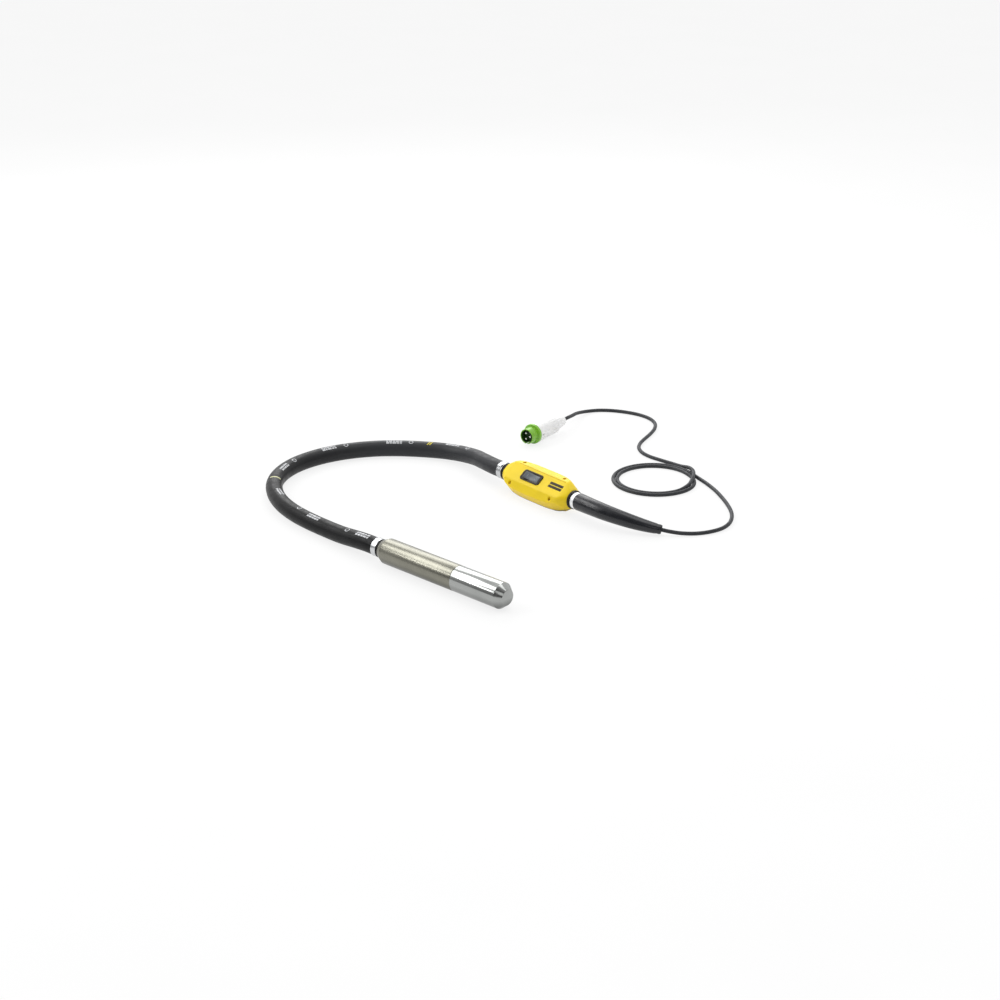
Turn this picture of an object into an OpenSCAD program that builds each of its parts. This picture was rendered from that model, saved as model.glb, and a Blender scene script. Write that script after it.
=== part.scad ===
// Concrete vibrator: steel head on a rubber hose, in-line switch housing, supply cord and plug.
// Millimetres, +Z up, the part lies on z = 0, +X runs along the head towards its nose.

/* [Head] */
// Outer diameter of the head
head_d = 57; // [56.8:0.1:60]
// Length of the head from its rear face to its nose
head_len = 365; // [363:1:400]
// Wall of the head around its bearings
head_wall = 5; // [4.9:0.05:5]
// Distance from the rear face to the joint between tube and nose
seam_at = 225; // [224:1:226]
// Overlap of the nose over the tube's spigot
seam_overlap = 20; // [16:1:22]
// Wall of the tube's spigot inside the nose
seam_wall = 2.7; // [2.6:0.05:2.8]
// Length of the cone at the rear of the head
cone_len = 17; // [16:1:17]
// Step from the head's surface down to the cone's small end
cone_step = 8; // [6:0.5:9]
// Length of the nose chamfer
nose_chamfer_len = 15; // [8:1:18]
// Step from the head's surface down to the flat tip
nose_step = 11.5; // [6:0.5:14]
// Length of the rear end piece's spigot inside the tube
rear_spigot_len = 30; // [29:1:30]

/* [Motor and bearings] */
// Height of a bearing's section, from its bore to its outer diameter
bearing_section = 13.5; // [13.2:0.1:13.8]
// Width of a bearing
bearing_w = 14; // [12:1:14]
// Diameter of a bearing ball
ball_d = 7; // [6:0.2:7]
// Balls in a bearing
ball_count = 8; // [6:1:9]
// Height of the shaft's shoulder between the bearings
shoulder_h = 2; // [1:0.5:2]
// Thickness of the rotor core on the shaft
rotor_t = 2.5; // [2:0.1:2.5]
// Radial air gap between rotor and stator
air_gap = 0.5; // [0.3:0.1:0.6]
// Length of the stator stack
stator_len = 90; // [70:1:90]
// Slots in the stator
slot_count = 12; // [6:2:12]
// Diameter of a stator slot
slot_d = 5.2; // [4:0.2:5.6]
// Gap between the eccentric weight and the head's bore
eccentric_gap = 2; // [1.5:0.5:5]

/* [Hose] */
// Outer diameter of the protective hose
hose_d = 39; // [38:0.5:39]
// Bore of the protective hose
hose_bore_d = 25; // [24.8:0.1:26]
// Diameter of the nipples inside the hose
nipple_d = 23.4; // [20:0.2:23.4]
// Length of a nipple inside the hose
nipple_len = 44; // [30:1:46]
// Diameter of the cable inside the hose
inner_cable_d = 10; // [8:0.5:10]
// Width of the front hose clamp
front_clamp_w = 14; // [9:1:16]
// Width of the rear hose clamp
rear_clamp_w = 16; // [9:1:18]
// Thickness of a clamp band
clamp_t = 1.1; // [0.8:0.1:1.6]

/* [Switch housing] */
// Length of the housing
housing_len = 220; // [217:1:224]
// Width of the housing
housing_w = 80; // [79:0.5:82]
// Height of the housing
housing_h = 52; // [51:0.5:54]
// Width of the flat top panel
panel_w = 47; // [45:1:48]
// Slope of the side bevels
bevel_angle = 38; // [37:0.5:39]
// Wall of the housing
wall = 3.5; // [2.5:0.1:3.5]
// Wall at the two ends of the housing
end_wall = 4.5; // [4:0.1:5]
// Diameter of the black ring at the hose
hose_ring_d = 41; // [39:0.5:43]
// Width of the black ring at the hose
hose_ring_w = 9; // [6:1:12]
// Diameter of the black ring at the bend protector
boot_ring_d = 43; // [41:0.5:45]
// Width of the black ring at the bend protector
boot_ring_w = 7; // [4:0.5:8]
// Thickness of the gasket between the shells
gasket_t = 1.2; // [1:0.1:1.4]

/* [Switch] */
// Length of the switch frame
frame_len = 64; // [60:1:66]
// Width of the switch frame
frame_w = 28; // [27:0.5:30]
// Radius of the switch frame's corners
frame_corner_r = 7; // [4:0.5:9]
// Height of the switch frame above the panel
frame_t = 1.8; // [1:0.1:2.4]
// Length of the rocker's opening
rocker_slot_len = 48.4; // [47:0.2:49]
// Width of the rocker's opening
rocker_slot_w = 18; // [16:0.5:19]
// Full travel of the rocker
rocker_travel = 14; // [8:1:14]
// Full travel of the contact seesaw
seesaw_travel = 12; // [6:1:12]

/* [Supply cord and plug] */
// Diameter of the supply cord
cord_d = 9; // [8:0.5:9]
// Diameter of the bend protector at the housing
boot_d = 40.4; // [38:0.2:42]
// Diameter of the bend protector at its thin end
boot_tip_d = 21; // [18:1:21.5]
// Diameter of the plug's flange
plug_flange_d = 50; // [49.6:0.2:52]
// Diameter of the plug's shroud
plug_shroud_d = 38; // [37:0.5:40]
// Bore of the plug's shroud
plug_shroud_bore_d = 34; // [33:0.5:35]
// Length of the shroud in front of the flange
plug_shroud_len = 22; // [20:1:24]
// Length of the plug from mouth to tail
plug_len = 150; // [148:1:165]
// Diameter of a contact pin
pin_d = 5; // [4:0.2:5.4]
// Circle of the contact pins
pin_circle_d = 17; // [16:0.5:18]
// Contact pins in the plug
pin_count = 3; // [3:1:4]

/* [Hidden] */
$fn = 48;

slip = 0.02;        // clearance of a pressed or screwed seat, on the radius
running = 0.05;     // clearance of a running fit, on the radius
seat = 0.1;         // gap between faces that meet end to end
loose = 0.3;        // clearance of what is passed through or lies on another piece
past = 1;           // how far a cutter runs past the face that it cuts

// Places: the head's rear face, the housing's centre and the plug's mouth, on the ground
head_x = -105.8;
head_y = -254.1;
housing_x = -96.4;
housing_y = 238.4;
housing_yaw = -6;
plug_x = -358.8;
plug_y = 474.9;
plug_yaw = 96;

// Diameters in the head, from its surface inwards
bearing_od = head_d - 2 * head_wall;
bearing_id = bearing_od - 2 * bearing_section;
head_bore_d = bearing_od + 0.06;
seam_spigot_d = bearing_od + 2 * seam_wall;
cone_d = head_d - 2 * cone_step;
nose_flat_d = head_d - 2 * nose_step;
rotor_bore_d = bearing_id + 2 * shoulder_h;
rotor_d = rotor_bore_d + 2 * rotor_t;
slot_circle_r = (bearing_od + rotor_d) / 4;
winding_d = bearing_od - 2;
winding_bore_d = rotor_d + 2 * air_gap + 1.2;
eccentric_d = bearing_od - 2 * eccentric_gap;
hub_d = bearing_id + 7;

// Stations along the head, from its rear face
spigot_end = cone_len + rear_spigot_len;
spring_t = 2;
rear_bearing_at = spigot_end + spring_t;
stator_at = 82;
winding_len = 12;
middle_bearing_at = 200;
front_bearing_at = head_len - 53;
bearings_at = [rear_bearing_at, middle_bearing_at, front_bearing_at];
front_bore_end = front_bearing_at + bearing_w + seat;
nose_bore_end = front_bore_end + 9;
shaft_from = spigot_end - 1;
shaft_to = front_bearing_at + bearing_w + 5;
shoulder_from = rear_bearing_at + bearing_w + seat;
shoulder_to = middle_bearing_at - seat;
circlip_t = 1.5;
bore_circlips_at = [rear_bearing_at + bearing_w + 0.2, middle_bearing_at - circlip_t - 0.2,
  middle_bearing_at + bearing_w + 0.2];
shaft_circlips_at = [rear_bearing_at - circlip_t - 0.2, front_bearing_at + bearing_w + 0.3];
circlip_depth = 0.9;
circlip_w = 3;
circlip_gap = 8;
head_bore_r = head_bore_d / 2;
pitch_r = (bearing_od + bearing_id) / 4;
race_gap = 1.85;    // from the balls' circle to the shoulder of either ring
cage_half = 1.05;
o_ring_r = 0.72;
o_ring_groove_w = 2.8;
o_ring_depth = 1.5;
rear_o_ring_at = cone_len + 1.5;
nose_o_ring_at = seam_at + 7;
wire_slot_at = cone_len + 7;
wire_slot_w = 3.4;
lead_r = 1.3;
lead_run_r = head_bore_r + lead_r + 0.02;
lead_groove_r = lead_run_r + lead_r + 0.15;
cavity_d = 26;
cable_end_at = 14;
seal_t = 1.8;
bar_d = slot_d - 0.4;
key_w = 4;
key_h = 3;
key_len = 60;
key_at = (middle_bearing_at + front_bearing_at + bearing_w - key_len) / 2;

// The hose's ends and clamps
hose_gap = loose;
clamp_r = hose_d / 2 + loose;
front_clamp_at = -5;
hose_sides = 12;
cable_bore_r = inner_cable_d / 2 + 0.4;
barb_step = 11;
barb_h = 0.2;

// The housing's cross-section and ends
half_len = housing_len / 2;
half_w = housing_w / 2;
half_h = housing_h / 2;
half_panel = panel_w / 2;
half_side = half_h - (half_w - half_panel) * tan(bevel_angle);
housing_roll = bevel_angle;   // it lies on one of its lower bevels
housing_z = half_w * sin(bevel_angle) + half_side * cos(bevel_angle);
neck_half_w = hose_ring_d / 2;
neck_half_h = hose_ring_d / 2 + 0.5;
middle_len = 2;
taper_len = min(108, half_len - middle_len);   // the plan's curve, as long as each half has room for
taper_from = half_len - taper_len;
slope_len = 24;
slope_from = half_len - slope_len;
end_round_r = hose_ring_d / 2 + 1.5;
end_round_len = 38;
end_round_rise = 24;
end_round_slope = end_round_rise / end_round_len;
thread_r = 12;
split_z = -12.4;
hose_end = half_len + hose_ring_w;
ferrule_w = 11;
ferrule_d = 38.4;
boot_start = half_len + boot_ring_w + ferrule_w;
nut_w = 30;
nut_t = 6;
screw_from_end = 42;
screw_x = half_len - screw_from_end;
screw_y = 30;
screw_head_z = 9;
screw_head_d = 8;
screw_head_t = 3;
screw_d = 4;
boss_d = 12;
clamp_at = half_len - 24;
clamp_len = 8;
cable_end = clamp_at - clamp_len;   // where the two cables end inside
clamp_w = 27;
clamp_h = 9;
clamp_screw_y = 10;
clamp_screw_d = 3.2;
terminal_from_end = 55;
terminal_x = half_len - terminal_from_end;
terminal_len = 30;
terminal_w = 28;
terminal_top = -8;
terminal_screw_x = 7;
terminal_screw_y = 7;

// The switch, from the housing's centre
switch_x = -14;
base_len = 54;
base_w = 24;
base_floor = 2;
base_floor_t = 2;
rocker_z = 17;
rocker_pin_d = 4;
seesaw_z = 8;
seesaw_pin_d = 2;
seesaw_len = 24;
seesaw_w = 12;
seesaw_t = 1.2;
contact_x = 11;
contact_d = 4;
contact_top = seesaw_z - seesaw_t / 2 - contact_x * sin(seesaw_travel / 2) - 0.4;
contact_bottom = -3;
rocker_mid = 10.4;    // height of the rocker's face over its pin
rocker_half = 22.4;
plunger_tip = 7.8;
plunger_d = 3.6;

// The plug, from its mouth
insert_at = 16;
insert_len = 30;
flange_t = 8;
flange_end = plug_shroud_len + flange_t;
collar_spigot_len = 18;
collar_spigot_d = 41;
cap_at = plug_len - 40;
cap_d = 31;
gland_d = 24;
plug_cord_end = plug_len - 23;
pin_root_d = pin_d + 1;
pin_from = 3;
pin_to = insert_at + insert_len + 4;
plug_screw_at = flange_end + 9;
plug_screw_d = 3.2;
plug_z = plug_flange_d / 2;

// Routes. Points are given from below the head's rear face, heights from the ground.
function from_head(points) = [for (p = points) p + [head_x, head_y, 0]];
function housing_point(d) =
  [housing_x + d * cos(housing_yaw), housing_y + d * sin(housing_yaw), housing_z];
function plug_point(d) = [plug_x + d * cos(plug_yaw), plug_y + d * sin(plug_yaw), plug_z];

hose_points = [[-90, 1, 25.8], [-135, 3, 21.8], [-190, 7, 19.7], [-250, 11, 19.5],
  [-310, 20, 19.5], [-370, 38, 19.5], [-425, 66, 19.5], [-475, 106, 19.5], [-510, 156, 19.5],
  [-530, 213, 19.5], [-534, 270, 19.5], [-525, 326, 19.5], [-504, 380, 19.5],
  [-471, 430, 19.5], [-431, 470, 19.5], [-386, 503.5, 19.5], [-336, 528, 21],
  [-285, 537, 24.5], [-235, 532, 29.5], [-195, 520, 33]];
boot_points = [[209, 474.1, 33.7], [233, 477, 31.4], [257, 482.3, 28.3], [280.5, 490, 24.4],
  [303, 499.5, 20.2], [324, 510.2, 16.2], [343.5, 522, 12.5]];
cord_out = [[360, 533, 9.2], [380, 550, 6], [401, 573.5, 4.5], [417, 602, 4.5],
  [424, 635, 4.5], [419, 666, 4.5], [404.5, 695.5, 4.5], [382, 724, 4.5], [352, 751, 4.5],
  [317, 777, 4.5], [274, 804.5, 4.5], [230, 826.5, 4.5], [187, 843.5, 4.5]];
cord_back = [[206, 799.5, 11.4], [193.5, 822.5, 14], [176, 845.5, 14], [157, 860, 12.8],
  [140, 868, 9.6], [118, 871.5, 5.5], [90, 872.5, 4.5], [55, 871.5, 4.5], [20, 872.5, 4.5],
  [-10, 881, 4.5], [-36, 899.5, 4.5], [-54, 926, 4.5], [-66, 956, 4.5], [-79, 995, 4.5],
  [-96, 1033, 4.5], [-120, 1063.5, 4.5], [-152, 1081.5, 4.5], [-188, 1086, 4.5],
  [-224, 1079, 4.5], [-259, 1064, 4.5], [-287, 1042, 4.5], [-301, 1013, 6], [-300.5, 984, 10.5],
  [-292.5, 957.5, 16], [-281, 932, 21]];

// The loop: one turn outside, then one inside it, rising at its end to pass over the first
coil_centre = [126, 762.5];
coil_outer_r = 97.5;
coil_inner_r = 88;
coil_from = 72;
coil_step = 22;
coil_steps = 30;
coil_shift_from = 372;
coil_shift = 50;
coil_rise_from = 692;
coil_rise = 0.0023;
function coil_r(a) = coil_outer_r
  - (coil_outer_r - coil_inner_r) * min(max((a - coil_shift_from) / coil_shift, 0), 1);
function coil_z(a) = 4.5 + coil_rise * pow(max(a - coil_rise_from, 0), 2);
coil_points = [for (k = [0 : coil_steps]) let (a = coil_from + k * coil_step)
  [coil_centre[0] + coil_r(a) * cos(a), coil_centre[1] + coil_r(a) * sin(a), coil_z(a)]];

hose_leads = [56, 33];   // the hose follows the axis for this long beyond the housing
head_end = [for (d = [0, 25, 50]) [head_x - hose_gap - d, head_y, head_d / 2]];
housing_end = [for (d = hose_leads) housing_point(-half_len - d)];
hose_route = concat(head_end, from_head(hose_points), housing_end, [housing_point(-hose_end)]);
inner_cable_route = concat([[head_x + cable_end_at, head_y, head_d / 2]], head_end,
  from_head(hose_points), housing_end, [for (d = [hose_end, cable_end]) housing_point(-d)]);
boot_route = concat([for (d = [0, 22, 44]) housing_point(boot_start + d)],
  from_head(boot_points));
boot_end = boot_route[len(boot_route) - 1];
boot_before_end = boot_route[len(boot_route) - 2];
tail_end = boot_end + 15 * unit(boot_before_end - boot_end);
tail_route = concat([housing_point(cable_end), housing_point(boot_start - 10)],
  [for (i = [0 : len(boot_route) - 2]) boot_route[i]], [tail_end]);
cord_route = concat([tail_end, boot_end], from_head(cord_out), from_head(coil_points),
  from_head(cord_back), [for (d = [plug_len + 24, plug_len, plug_cord_end]) plug_point(d)]);

// Round solids swept along a route
function unit(v) = v / norm(v);
function heading(p, i) = unit(p[min(i + 1, len(p) - 1)] - p[max(i - 1, 0)]);
function ring(p, i, r, sides) = let (t = heading(p, i), s = unit(cross(t, [0, 0, 1])),
  u = cross(s, t)) [for (k = [0 : sides - 1])
    p[i] + r * (cos(360 * k / sides) * s + sin(360 * k / sides) * u)];
function skin(n, sides, first) = [for (i = [0 : n - 2], k = [0 : sides - 1])
  let (a = first + i * sides, j = (k + 1) % sides)
  [a + k, a + j, a + sides + j, a + sides + k]];
function turned(faces) = [for (f = faces) [for (i = [len(f) - 1 : -1 : 0]) f[i]]];

module swept_rod(route, r, sides) {
  n = len(route);
  polyhedron(
    points = [for (i = [0 : n - 1]) each ring(route, i, r, sides)],
    faces = concat(skin(n, sides, 0), turned([[for (k = [0 : sides - 1]) k]]),
      [[for (k = [0 : sides - 1]) (n - 1) * sides + k]]));
}

module swept_pipe(route, radii, bores, sides) {
  n = len(route);
  inner = n * sides;
  last = (n - 1) * sides;
  polyhedron(
    points = concat([for (i = [0 : n - 1]) each ring(route, i, radii[i], sides)],
      [for (i = [0 : n - 1]) each ring(route, i, bores[i], sides)]),
    faces = concat(skin(n, sides, 0), turned(skin(n, sides, inner)),
      [for (k = [0 : sides - 1]) let (j = (k + 1) % sides) [k, inner + k, inner + j, j]],
      [for (k = [0 : sides - 1]) let (j = (k + 1) % sides)
        [last + k, last + j, inner + last + j, inner + last + k]]));
}

// Plain round stock, from one station to another along local z
module rod(d, from, to) {
  translate([0, 0, from]) cylinder(d = d, h = to - from);
}

module pipe(d, bore, from, to) {
  difference() {
    rod(d, from, to);
    rod(bore, from - past, to + past);
  }
}

module torus(r, section_r, at) {
  translate([0, 0, at]) rotate_extrude() translate([r, 0]) circle(r = section_r);
}

module round_rect(l, w, r) {
  square([l - 2 * r, w], center = true);
  square([l, w - 2 * r], center = true);
  for (x = [-1, 1], y = [-1, 1]) translate([x * (l / 2 - r), y * (w / 2 - r)]) circle(r = r);
}

// Where things are: local z runs along the head or the plug, local x along the housing
module at_head() {
  translate([head_x, head_y, head_d / 2]) rotate([0, 90, 0]) children();
}

module at_housing() {
  translate([housing_x, housing_y, housing_z]) rotate([0, 0, housing_yaw])
    rotate([housing_roll, 0, 0]) children();
}

module along_housing() {
  at_housing() rotate([0, 90, 0]) children();
}

module at_plug() {
  translate([plug_x, plug_y, plug_z]) rotate([0, 0, plug_yaw]) rotate([0, 90, 0]) children();
}

// ---- Head ----

module rear_end_piece() {
  color("#a7a699") at_head() difference() {
    union() {
      rod(nipple_d, -nipple_len, past);
      for (k = [0 : 2]) translate([0, 0, -nipple_len + 3 + k * barb_step])
        cylinder(d1 = nipple_d, d2 = nipple_d + 2 * barb_h, h = 4);
      cylinder(d1 = cone_d, d2 = head_d, h = cone_len);
      rod(bearing_od, cone_len - past, spigot_end);
    }
    rod(2 * cable_bore_r, -nipple_len - past, cone_len + 6);
    rod(cavity_d, cone_len + 5, spigot_end + past);
    difference() {
      rod(head_d, rear_o_ring_at, rear_o_ring_at + o_ring_groove_w);
      rod(bearing_od - 2 * o_ring_depth, 0, head_len);
    }
    translate([-head_d / 2, -wire_slot_w / 2, wire_slot_at]) cube([head_d / 2, wire_slot_w, 4]);
    translate([-head_d / 2, -wire_slot_w / 2, wire_slot_at])
      cube([head_d / 2 - head_bore_r + 2, wire_slot_w, head_len]);
  }
}

module head_tube() {
  color("#a9a89b") at_head() difference() {
    union() {
      rod(head_d, cone_len + seat, seam_at);
      rod(seam_spigot_d, cone_len + seat, seam_at + seam_overlap);
    }
    rod(head_bore_d, 0, head_len);
    for (at = bore_circlips_at) rod(bearing_od + 2 * circlip_depth + 0.2, at - 0.1,
      at + circlip_t + 0.1);
    difference() {
      rod(head_d, nose_o_ring_at, nose_o_ring_at + o_ring_groove_w);
      rod(seam_spigot_d - 2 * o_ring_depth, 0, head_len);
    }
    translate([-lead_groove_r, -wire_slot_w / 2, wire_slot_at])
      cube([lead_groove_r, wire_slot_w, stator_at - wire_slot_at - 2]);
    difference() {
      rod(head_d + 2, seam_at - 0.6, seam_at + seat);
      translate([0, 0, seam_at - 0.6])
        cylinder(d1 = head_d, d2 = head_d - 1.2, h = 0.6 + past);
    }
  }
}

module head_nose() {
  color("#d9dcdc") at_head() difference() {
    union() {
      translate([0, 0, seam_at + seat]) cylinder(d1 = head_d - 1.2, d2 = head_d, h = 0.6);
      rod(head_d, seam_at + seat + 0.6, head_len - nose_chamfer_len);
      translate([0, 0, head_len - nose_chamfer_len])
        cylinder(d1 = head_d, d2 = nose_flat_d, h = nose_chamfer_len);
    }
    rod(seam_spigot_d + 2 * slip, 0, seam_at + seam_overlap + seat);
    rod(head_bore_d, 0, front_bore_end);
    rod(head_bore_d - 7, 0, nose_bore_end);
  }
}

module stator_core() {
  color("#6b6f73") at_head() difference() {
    pipe(bearing_od, rotor_d + 2 * air_gap, stator_at, stator_at + stator_len);
    for (k = [0 : slot_count - 1]) rotate(k * 360 / slot_count)
      translate([slot_circle_r, 0, 0]) rod(slot_d, 0, head_len);
  }
}

module stator_winding() {
  color("#b5651d") at_head() {
    pipe(winding_d, winding_bore_d, stator_at - winding_len, stator_at - seat);
    pipe(winding_d, winding_bore_d, stator_at + stator_len + seat,
      stator_at + stator_len + winding_len);
    for (k = [0 : slot_count - 1]) rotate(k * 360 / slot_count)
      translate([slot_circle_r, 0, 0])
        rod(bar_d, stator_at - winding_len / 2, stator_at + stator_len + winding_len / 2);
  }
}

module thermal_cutout() {
  color("#2d2d30") at_head() translate([slot_circle_r - 2, -5, stator_at - winding_len - 3.3])
    cube([4, 10, 3.2]);
}

module motor_leads() {
  bend = wire_slot_at + 2;
  color("#c0392b") at_head() {
    rod(2 * lead_r, cable_end_at + seat, bend);
    translate([0, 0, bend]) sphere(r = lead_r);
    translate([0, 0, bend]) rotate([0, -90, 0]) rod(2 * lead_r, 0, lead_run_r);
    translate([-lead_run_r, 0, bend]) sphere(r = lead_r);
    translate([-lead_run_r, 0, 0]) rod(2 * lead_r, bend, stator_at - 5);
    translate([-lead_run_r, 0, stator_at - 5]) sphere(r = lead_r);
    translate([-winding_d / 2 - seat, 0, stator_at - 5]) rotate([0, -90, 0])
      rod(2 * lead_r, 0, lead_run_r - winding_d / 2 - seat);
  }
}

module bearing_outer_rings() {
  color("#c9ccd0") at_head() for (at = bearings_at) difference() {
    pipe(bearing_od, 2 * (pitch_r + race_gap), at, at + bearing_w);
    torus(pitch_r, ball_d / 2 + running, at + bearing_w / 2);
  }
}

module bearing_inner_rings() {
  color("#c9ccd0") at_head() for (at = bearings_at) difference() {
    pipe(2 * (pitch_r - race_gap), bearing_id + 2 * slip, at, at + bearing_w);
    torus(pitch_r, ball_d / 2 + running, at + bearing_w / 2);
  }
}

module bearing_balls() {
  color("#e3e5e8") at_head() for (at = bearings_at, k = [0 : ball_count - 1])
    rotate(k * 360 / ball_count) translate([pitch_r, 0, at + bearing_w / 2])
      sphere(d = ball_d);
}

module bearing_cages() {
  color("#c8a24a") at_head() for (at = bearings_at) difference() {
    pipe(2 * (pitch_r + cage_half), 2 * (pitch_r - cage_half), at + 2, at + bearing_w - 2);
    for (k = [0 : ball_count - 1]) rotate(k * 360 / ball_count)
      translate([0, 0, at + bearing_w / 2]) rotate([0, 90, 0])
        rod(ball_d + 0.2, pitch_r - 4, pitch_r + 4);
  }
}

module bore_circlips() {
  color("#4a4d52") at_head() for (at = bore_circlips_at) difference() {
    pipe(bearing_od + 2 * circlip_depth, bearing_od + 2 * circlip_depth - 2 * circlip_w,
      at, at + circlip_t);
    translate([-head_d / 2, -circlip_gap / 2, at - past])
      cube([head_d / 2, circlip_gap, circlip_t + 2 * past]);
  }
}

module preload_spring() {
  color("#85898f") at_head()
    pipe(bearing_od - 0.6, bearing_od - 8, spigot_end + seat, rear_bearing_at - seat);
}

module head_o_rings() {
  color("#1c1c1e") at_head() {
    torus(bearing_od / 2 - o_ring_depth + o_ring_r + running, o_ring_r,
      rear_o_ring_at + o_ring_groove_w / 2);
    torus(seam_spigot_d / 2 - o_ring_depth + o_ring_r + running, o_ring_r,
      nose_o_ring_at + o_ring_groove_w / 2);
  }
}

module head_cable_seal() {
  color("#232326") at_head()
    pipe(cavity_d - 0.2, 2 * lead_r + 0.2, cone_len + 5 + running, cone_len + 5 + seal_t);
}

module clamp_band(w, at) {
  pipe(2 * (clamp_r + clamp_t), 2 * clamp_r, at, at + w);
}

module front_clamp() {
  color("#cfd2d4") at_head() {
    clamp_band(front_clamp_w, front_clamp_at - front_clamp_w);
    translate([-4, clamp_r + clamp_t - 0.6, front_clamp_at - front_clamp_w + 2])
      cube([8, 3, front_clamp_w - 4]);
  }
}

// ---- Rotor ----

module keyway() {
  translate([-bearing_id / 2 - key_h / 2 - slip, -key_w / 2 - slip, key_at - slip])
    cube([key_h + 2 * slip, key_w + 2 * slip, key_len + 2 * slip]);
}

module rotor_shaft() {
  color("#9ba0a6") at_head() difference() {
    union() {
      rod(bearing_id, shaft_from, shaft_to);
      rod(rotor_bore_d, shoulder_from, shoulder_to);
    }
    keyway();
    for (at = shaft_circlips_at) pipe(bearing_id + 2, bearing_id - 1.5, at - 0.1,
      at + circlip_t + 0.1);
  }
}

module rotor_core() {
  color("#7a6f66") at_head()
    pipe(rotor_d, rotor_bore_d + 2 * slip, stator_at + 2, stator_at + stator_len - 2);
}

module rotor_end_rings() {
  color("#d0d3d6") at_head() for (at = [stator_at - 2, stator_at + stator_len - 2 + seat])
    pipe(rotor_d - 0.6, rotor_bore_d + 2 * slip, at, at + 4 - seat);
}

module eccentric_weight() {
  from = middle_bearing_at + bearing_w;
  color("#8d6e4f") at_head() difference() {
    union() {
      rod(hub_d, from + loose, front_bearing_at - loose);
      intersection() {
        rod(eccentric_d, from + 5, front_bearing_at - 3);
        translate([0, -head_d, 0]) cube([head_d, 2 * head_d, head_len]);
      }
    }
    rod(bearing_id + 2 * slip, 0, head_len);
    keyway();
  }
}

module eccentric_key() {
  color("#5b5f66") at_head() translate([-bearing_id / 2 - key_h / 2, -key_w / 2, key_at])
    cube([key_h, key_w, key_len]);
}

module shaft_circlips() {
  color("#4a4d52") at_head() for (at = shaft_circlips_at)
    pipe(bearing_id + 4.8, bearing_id - 1.5 + 2 * slip, at, at + circlip_t);
}

// ---- Hose ----

module protective_hose() {
  n = len(hose_route);
  color("#2e2f31") swept_pipe(hose_route, [for (i = [1 : n]) hose_d / 2],
    [for (i = [1 : n]) hose_bore_d / 2], hose_sides);
}

module inner_cable() {
  color("#1e1f21") swept_rod(inner_cable_route, inner_cable_d / 2, 8);
}

module hose_nipple() {
  color("#b9bcbf") along_housing() difference() {
    union() {
      rod(nipple_d, -hose_end - nipple_len, -hose_end + past);
      rod(2 * thread_r, -hose_end, -half_len + end_wall + nut_t + 2);
      for (k = [0 : 2]) translate([0, 0, -hose_end - 7 - k * barb_step])
        cylinder(d1 = nipple_d + 2 * barb_h, d2 = nipple_d, h = 4);
    }
    rod(2 * cable_bore_r, -hose_end - nipple_len - past, 0);
  }
}

module hose_ring() {
  color("#222222") along_housing()
    pipe(hose_ring_d, 2 * (thread_r + slip), -hose_end + seat, -half_len);
}

module rear_clamp() {
  from = -hose_end - rear_clamp_w;
  color("#cfd2d4") along_housing() {
    clamp_band(rear_clamp_w, from);
    translate([-clamp_r - clamp_t - 3.4, -4, from + 2]) cube([4, 8, rear_clamp_w - 4]);
  }
}

// ---- Switch housing ----

// Half outline of a tapered end, from the full width to the neck, at these shares of its length
plan_steps = [0, 0.2, 0.38, 0.53, 0.66, 0.77, 0.86, 0.94, 1];
side_steps = [0, 0.2, 0.4, 0.6, 0.8, 1];
function end_curve(steps, from, to, full, neck, power) =
  [for (t = steps) [from + (to - from) * t, neck + (full - neck) * (1 - pow(t, power))]];
function both_ways(c) = let (n = len(c)) concat(c,
  [for (i = [n - 1 : -1 : 0]) [c[i][0], -c[i][1]]], [for (i = [0 : n - 1]) [-c[i][0], -c[i][1]]],
  [for (i = [n - 1 : -1 : 0]) [-c[i][0], c[i][1]]]);

module housing_form(inset, end_inset) {
  w = half_w - inset;
  h = half_h - inset;
  side = half_side - inset * tan((90 - bevel_angle) / 2);
  flat = half_panel - inset * tan(bevel_angle / 2);
  to = half_len - end_inset;
  round_r = end_round_r - inset;
  intersection() {
    rotate([90, 0, 90]) linear_extrude(2 * to, center = true) polygon([[w, -side], [w, side],
      [flat, h], [-flat, h], [-w, side], [-w, -side], [-flat, -h], [flat, -h]]);
    linear_extrude(2 * half_h, center = true)
      polygon(both_ways(end_curve(plan_steps, taper_from, to, w, neck_half_w - inset, 3.8)));
    rotate([90, 0, 0]) linear_extrude(2 * half_w, center = true)
      polygon(both_ways(end_curve(side_steps, slope_from, to, h, neck_half_h - inset, 2)));
    rotate([0, 90, 0]) rotate_extrude() polygon([[0, -to], [round_r, -to],
      [round_r + end_round_rise, end_round_len - to],
      [round_r + end_round_rise, to - end_round_len],
      [round_r, to], [0, to]]);
  }
}

module at_screws() {
  for (x = [-1, 1], y = [-1, 1]) translate([x * screw_x, y * screw_y, 0]) children();
}

module housing_shell() {
  difference() {
    housing_form(0, 0);
    difference() {
      housing_form(wall, end_wall);
      at_screws() rod(boss_d, -housing_h, housing_h);
    }
    rotate([0, 90, 0]) rod(2 * (thread_r + slip), -housing_len, housing_len);
    at_screws() rod(screw_d + 2 * slip, -half_h + 8, half_h + past);
  }
}

module housing_top() {
  color("#f2c91d") at_housing() difference() {
    housing_shell();
    translate([0, 0, split_z - housing_h / 2]) cube([housing_len + 2, housing_w + 2, housing_h],
      center = true);
    at_screws() rod(screw_head_d + 0.6, screw_head_z, half_h + past);
    translate([switch_x, 0, half_h]) cube([base_len + 2 * seat, base_w + 2 * seat, 20],
      center = true);
  }
}

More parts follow.
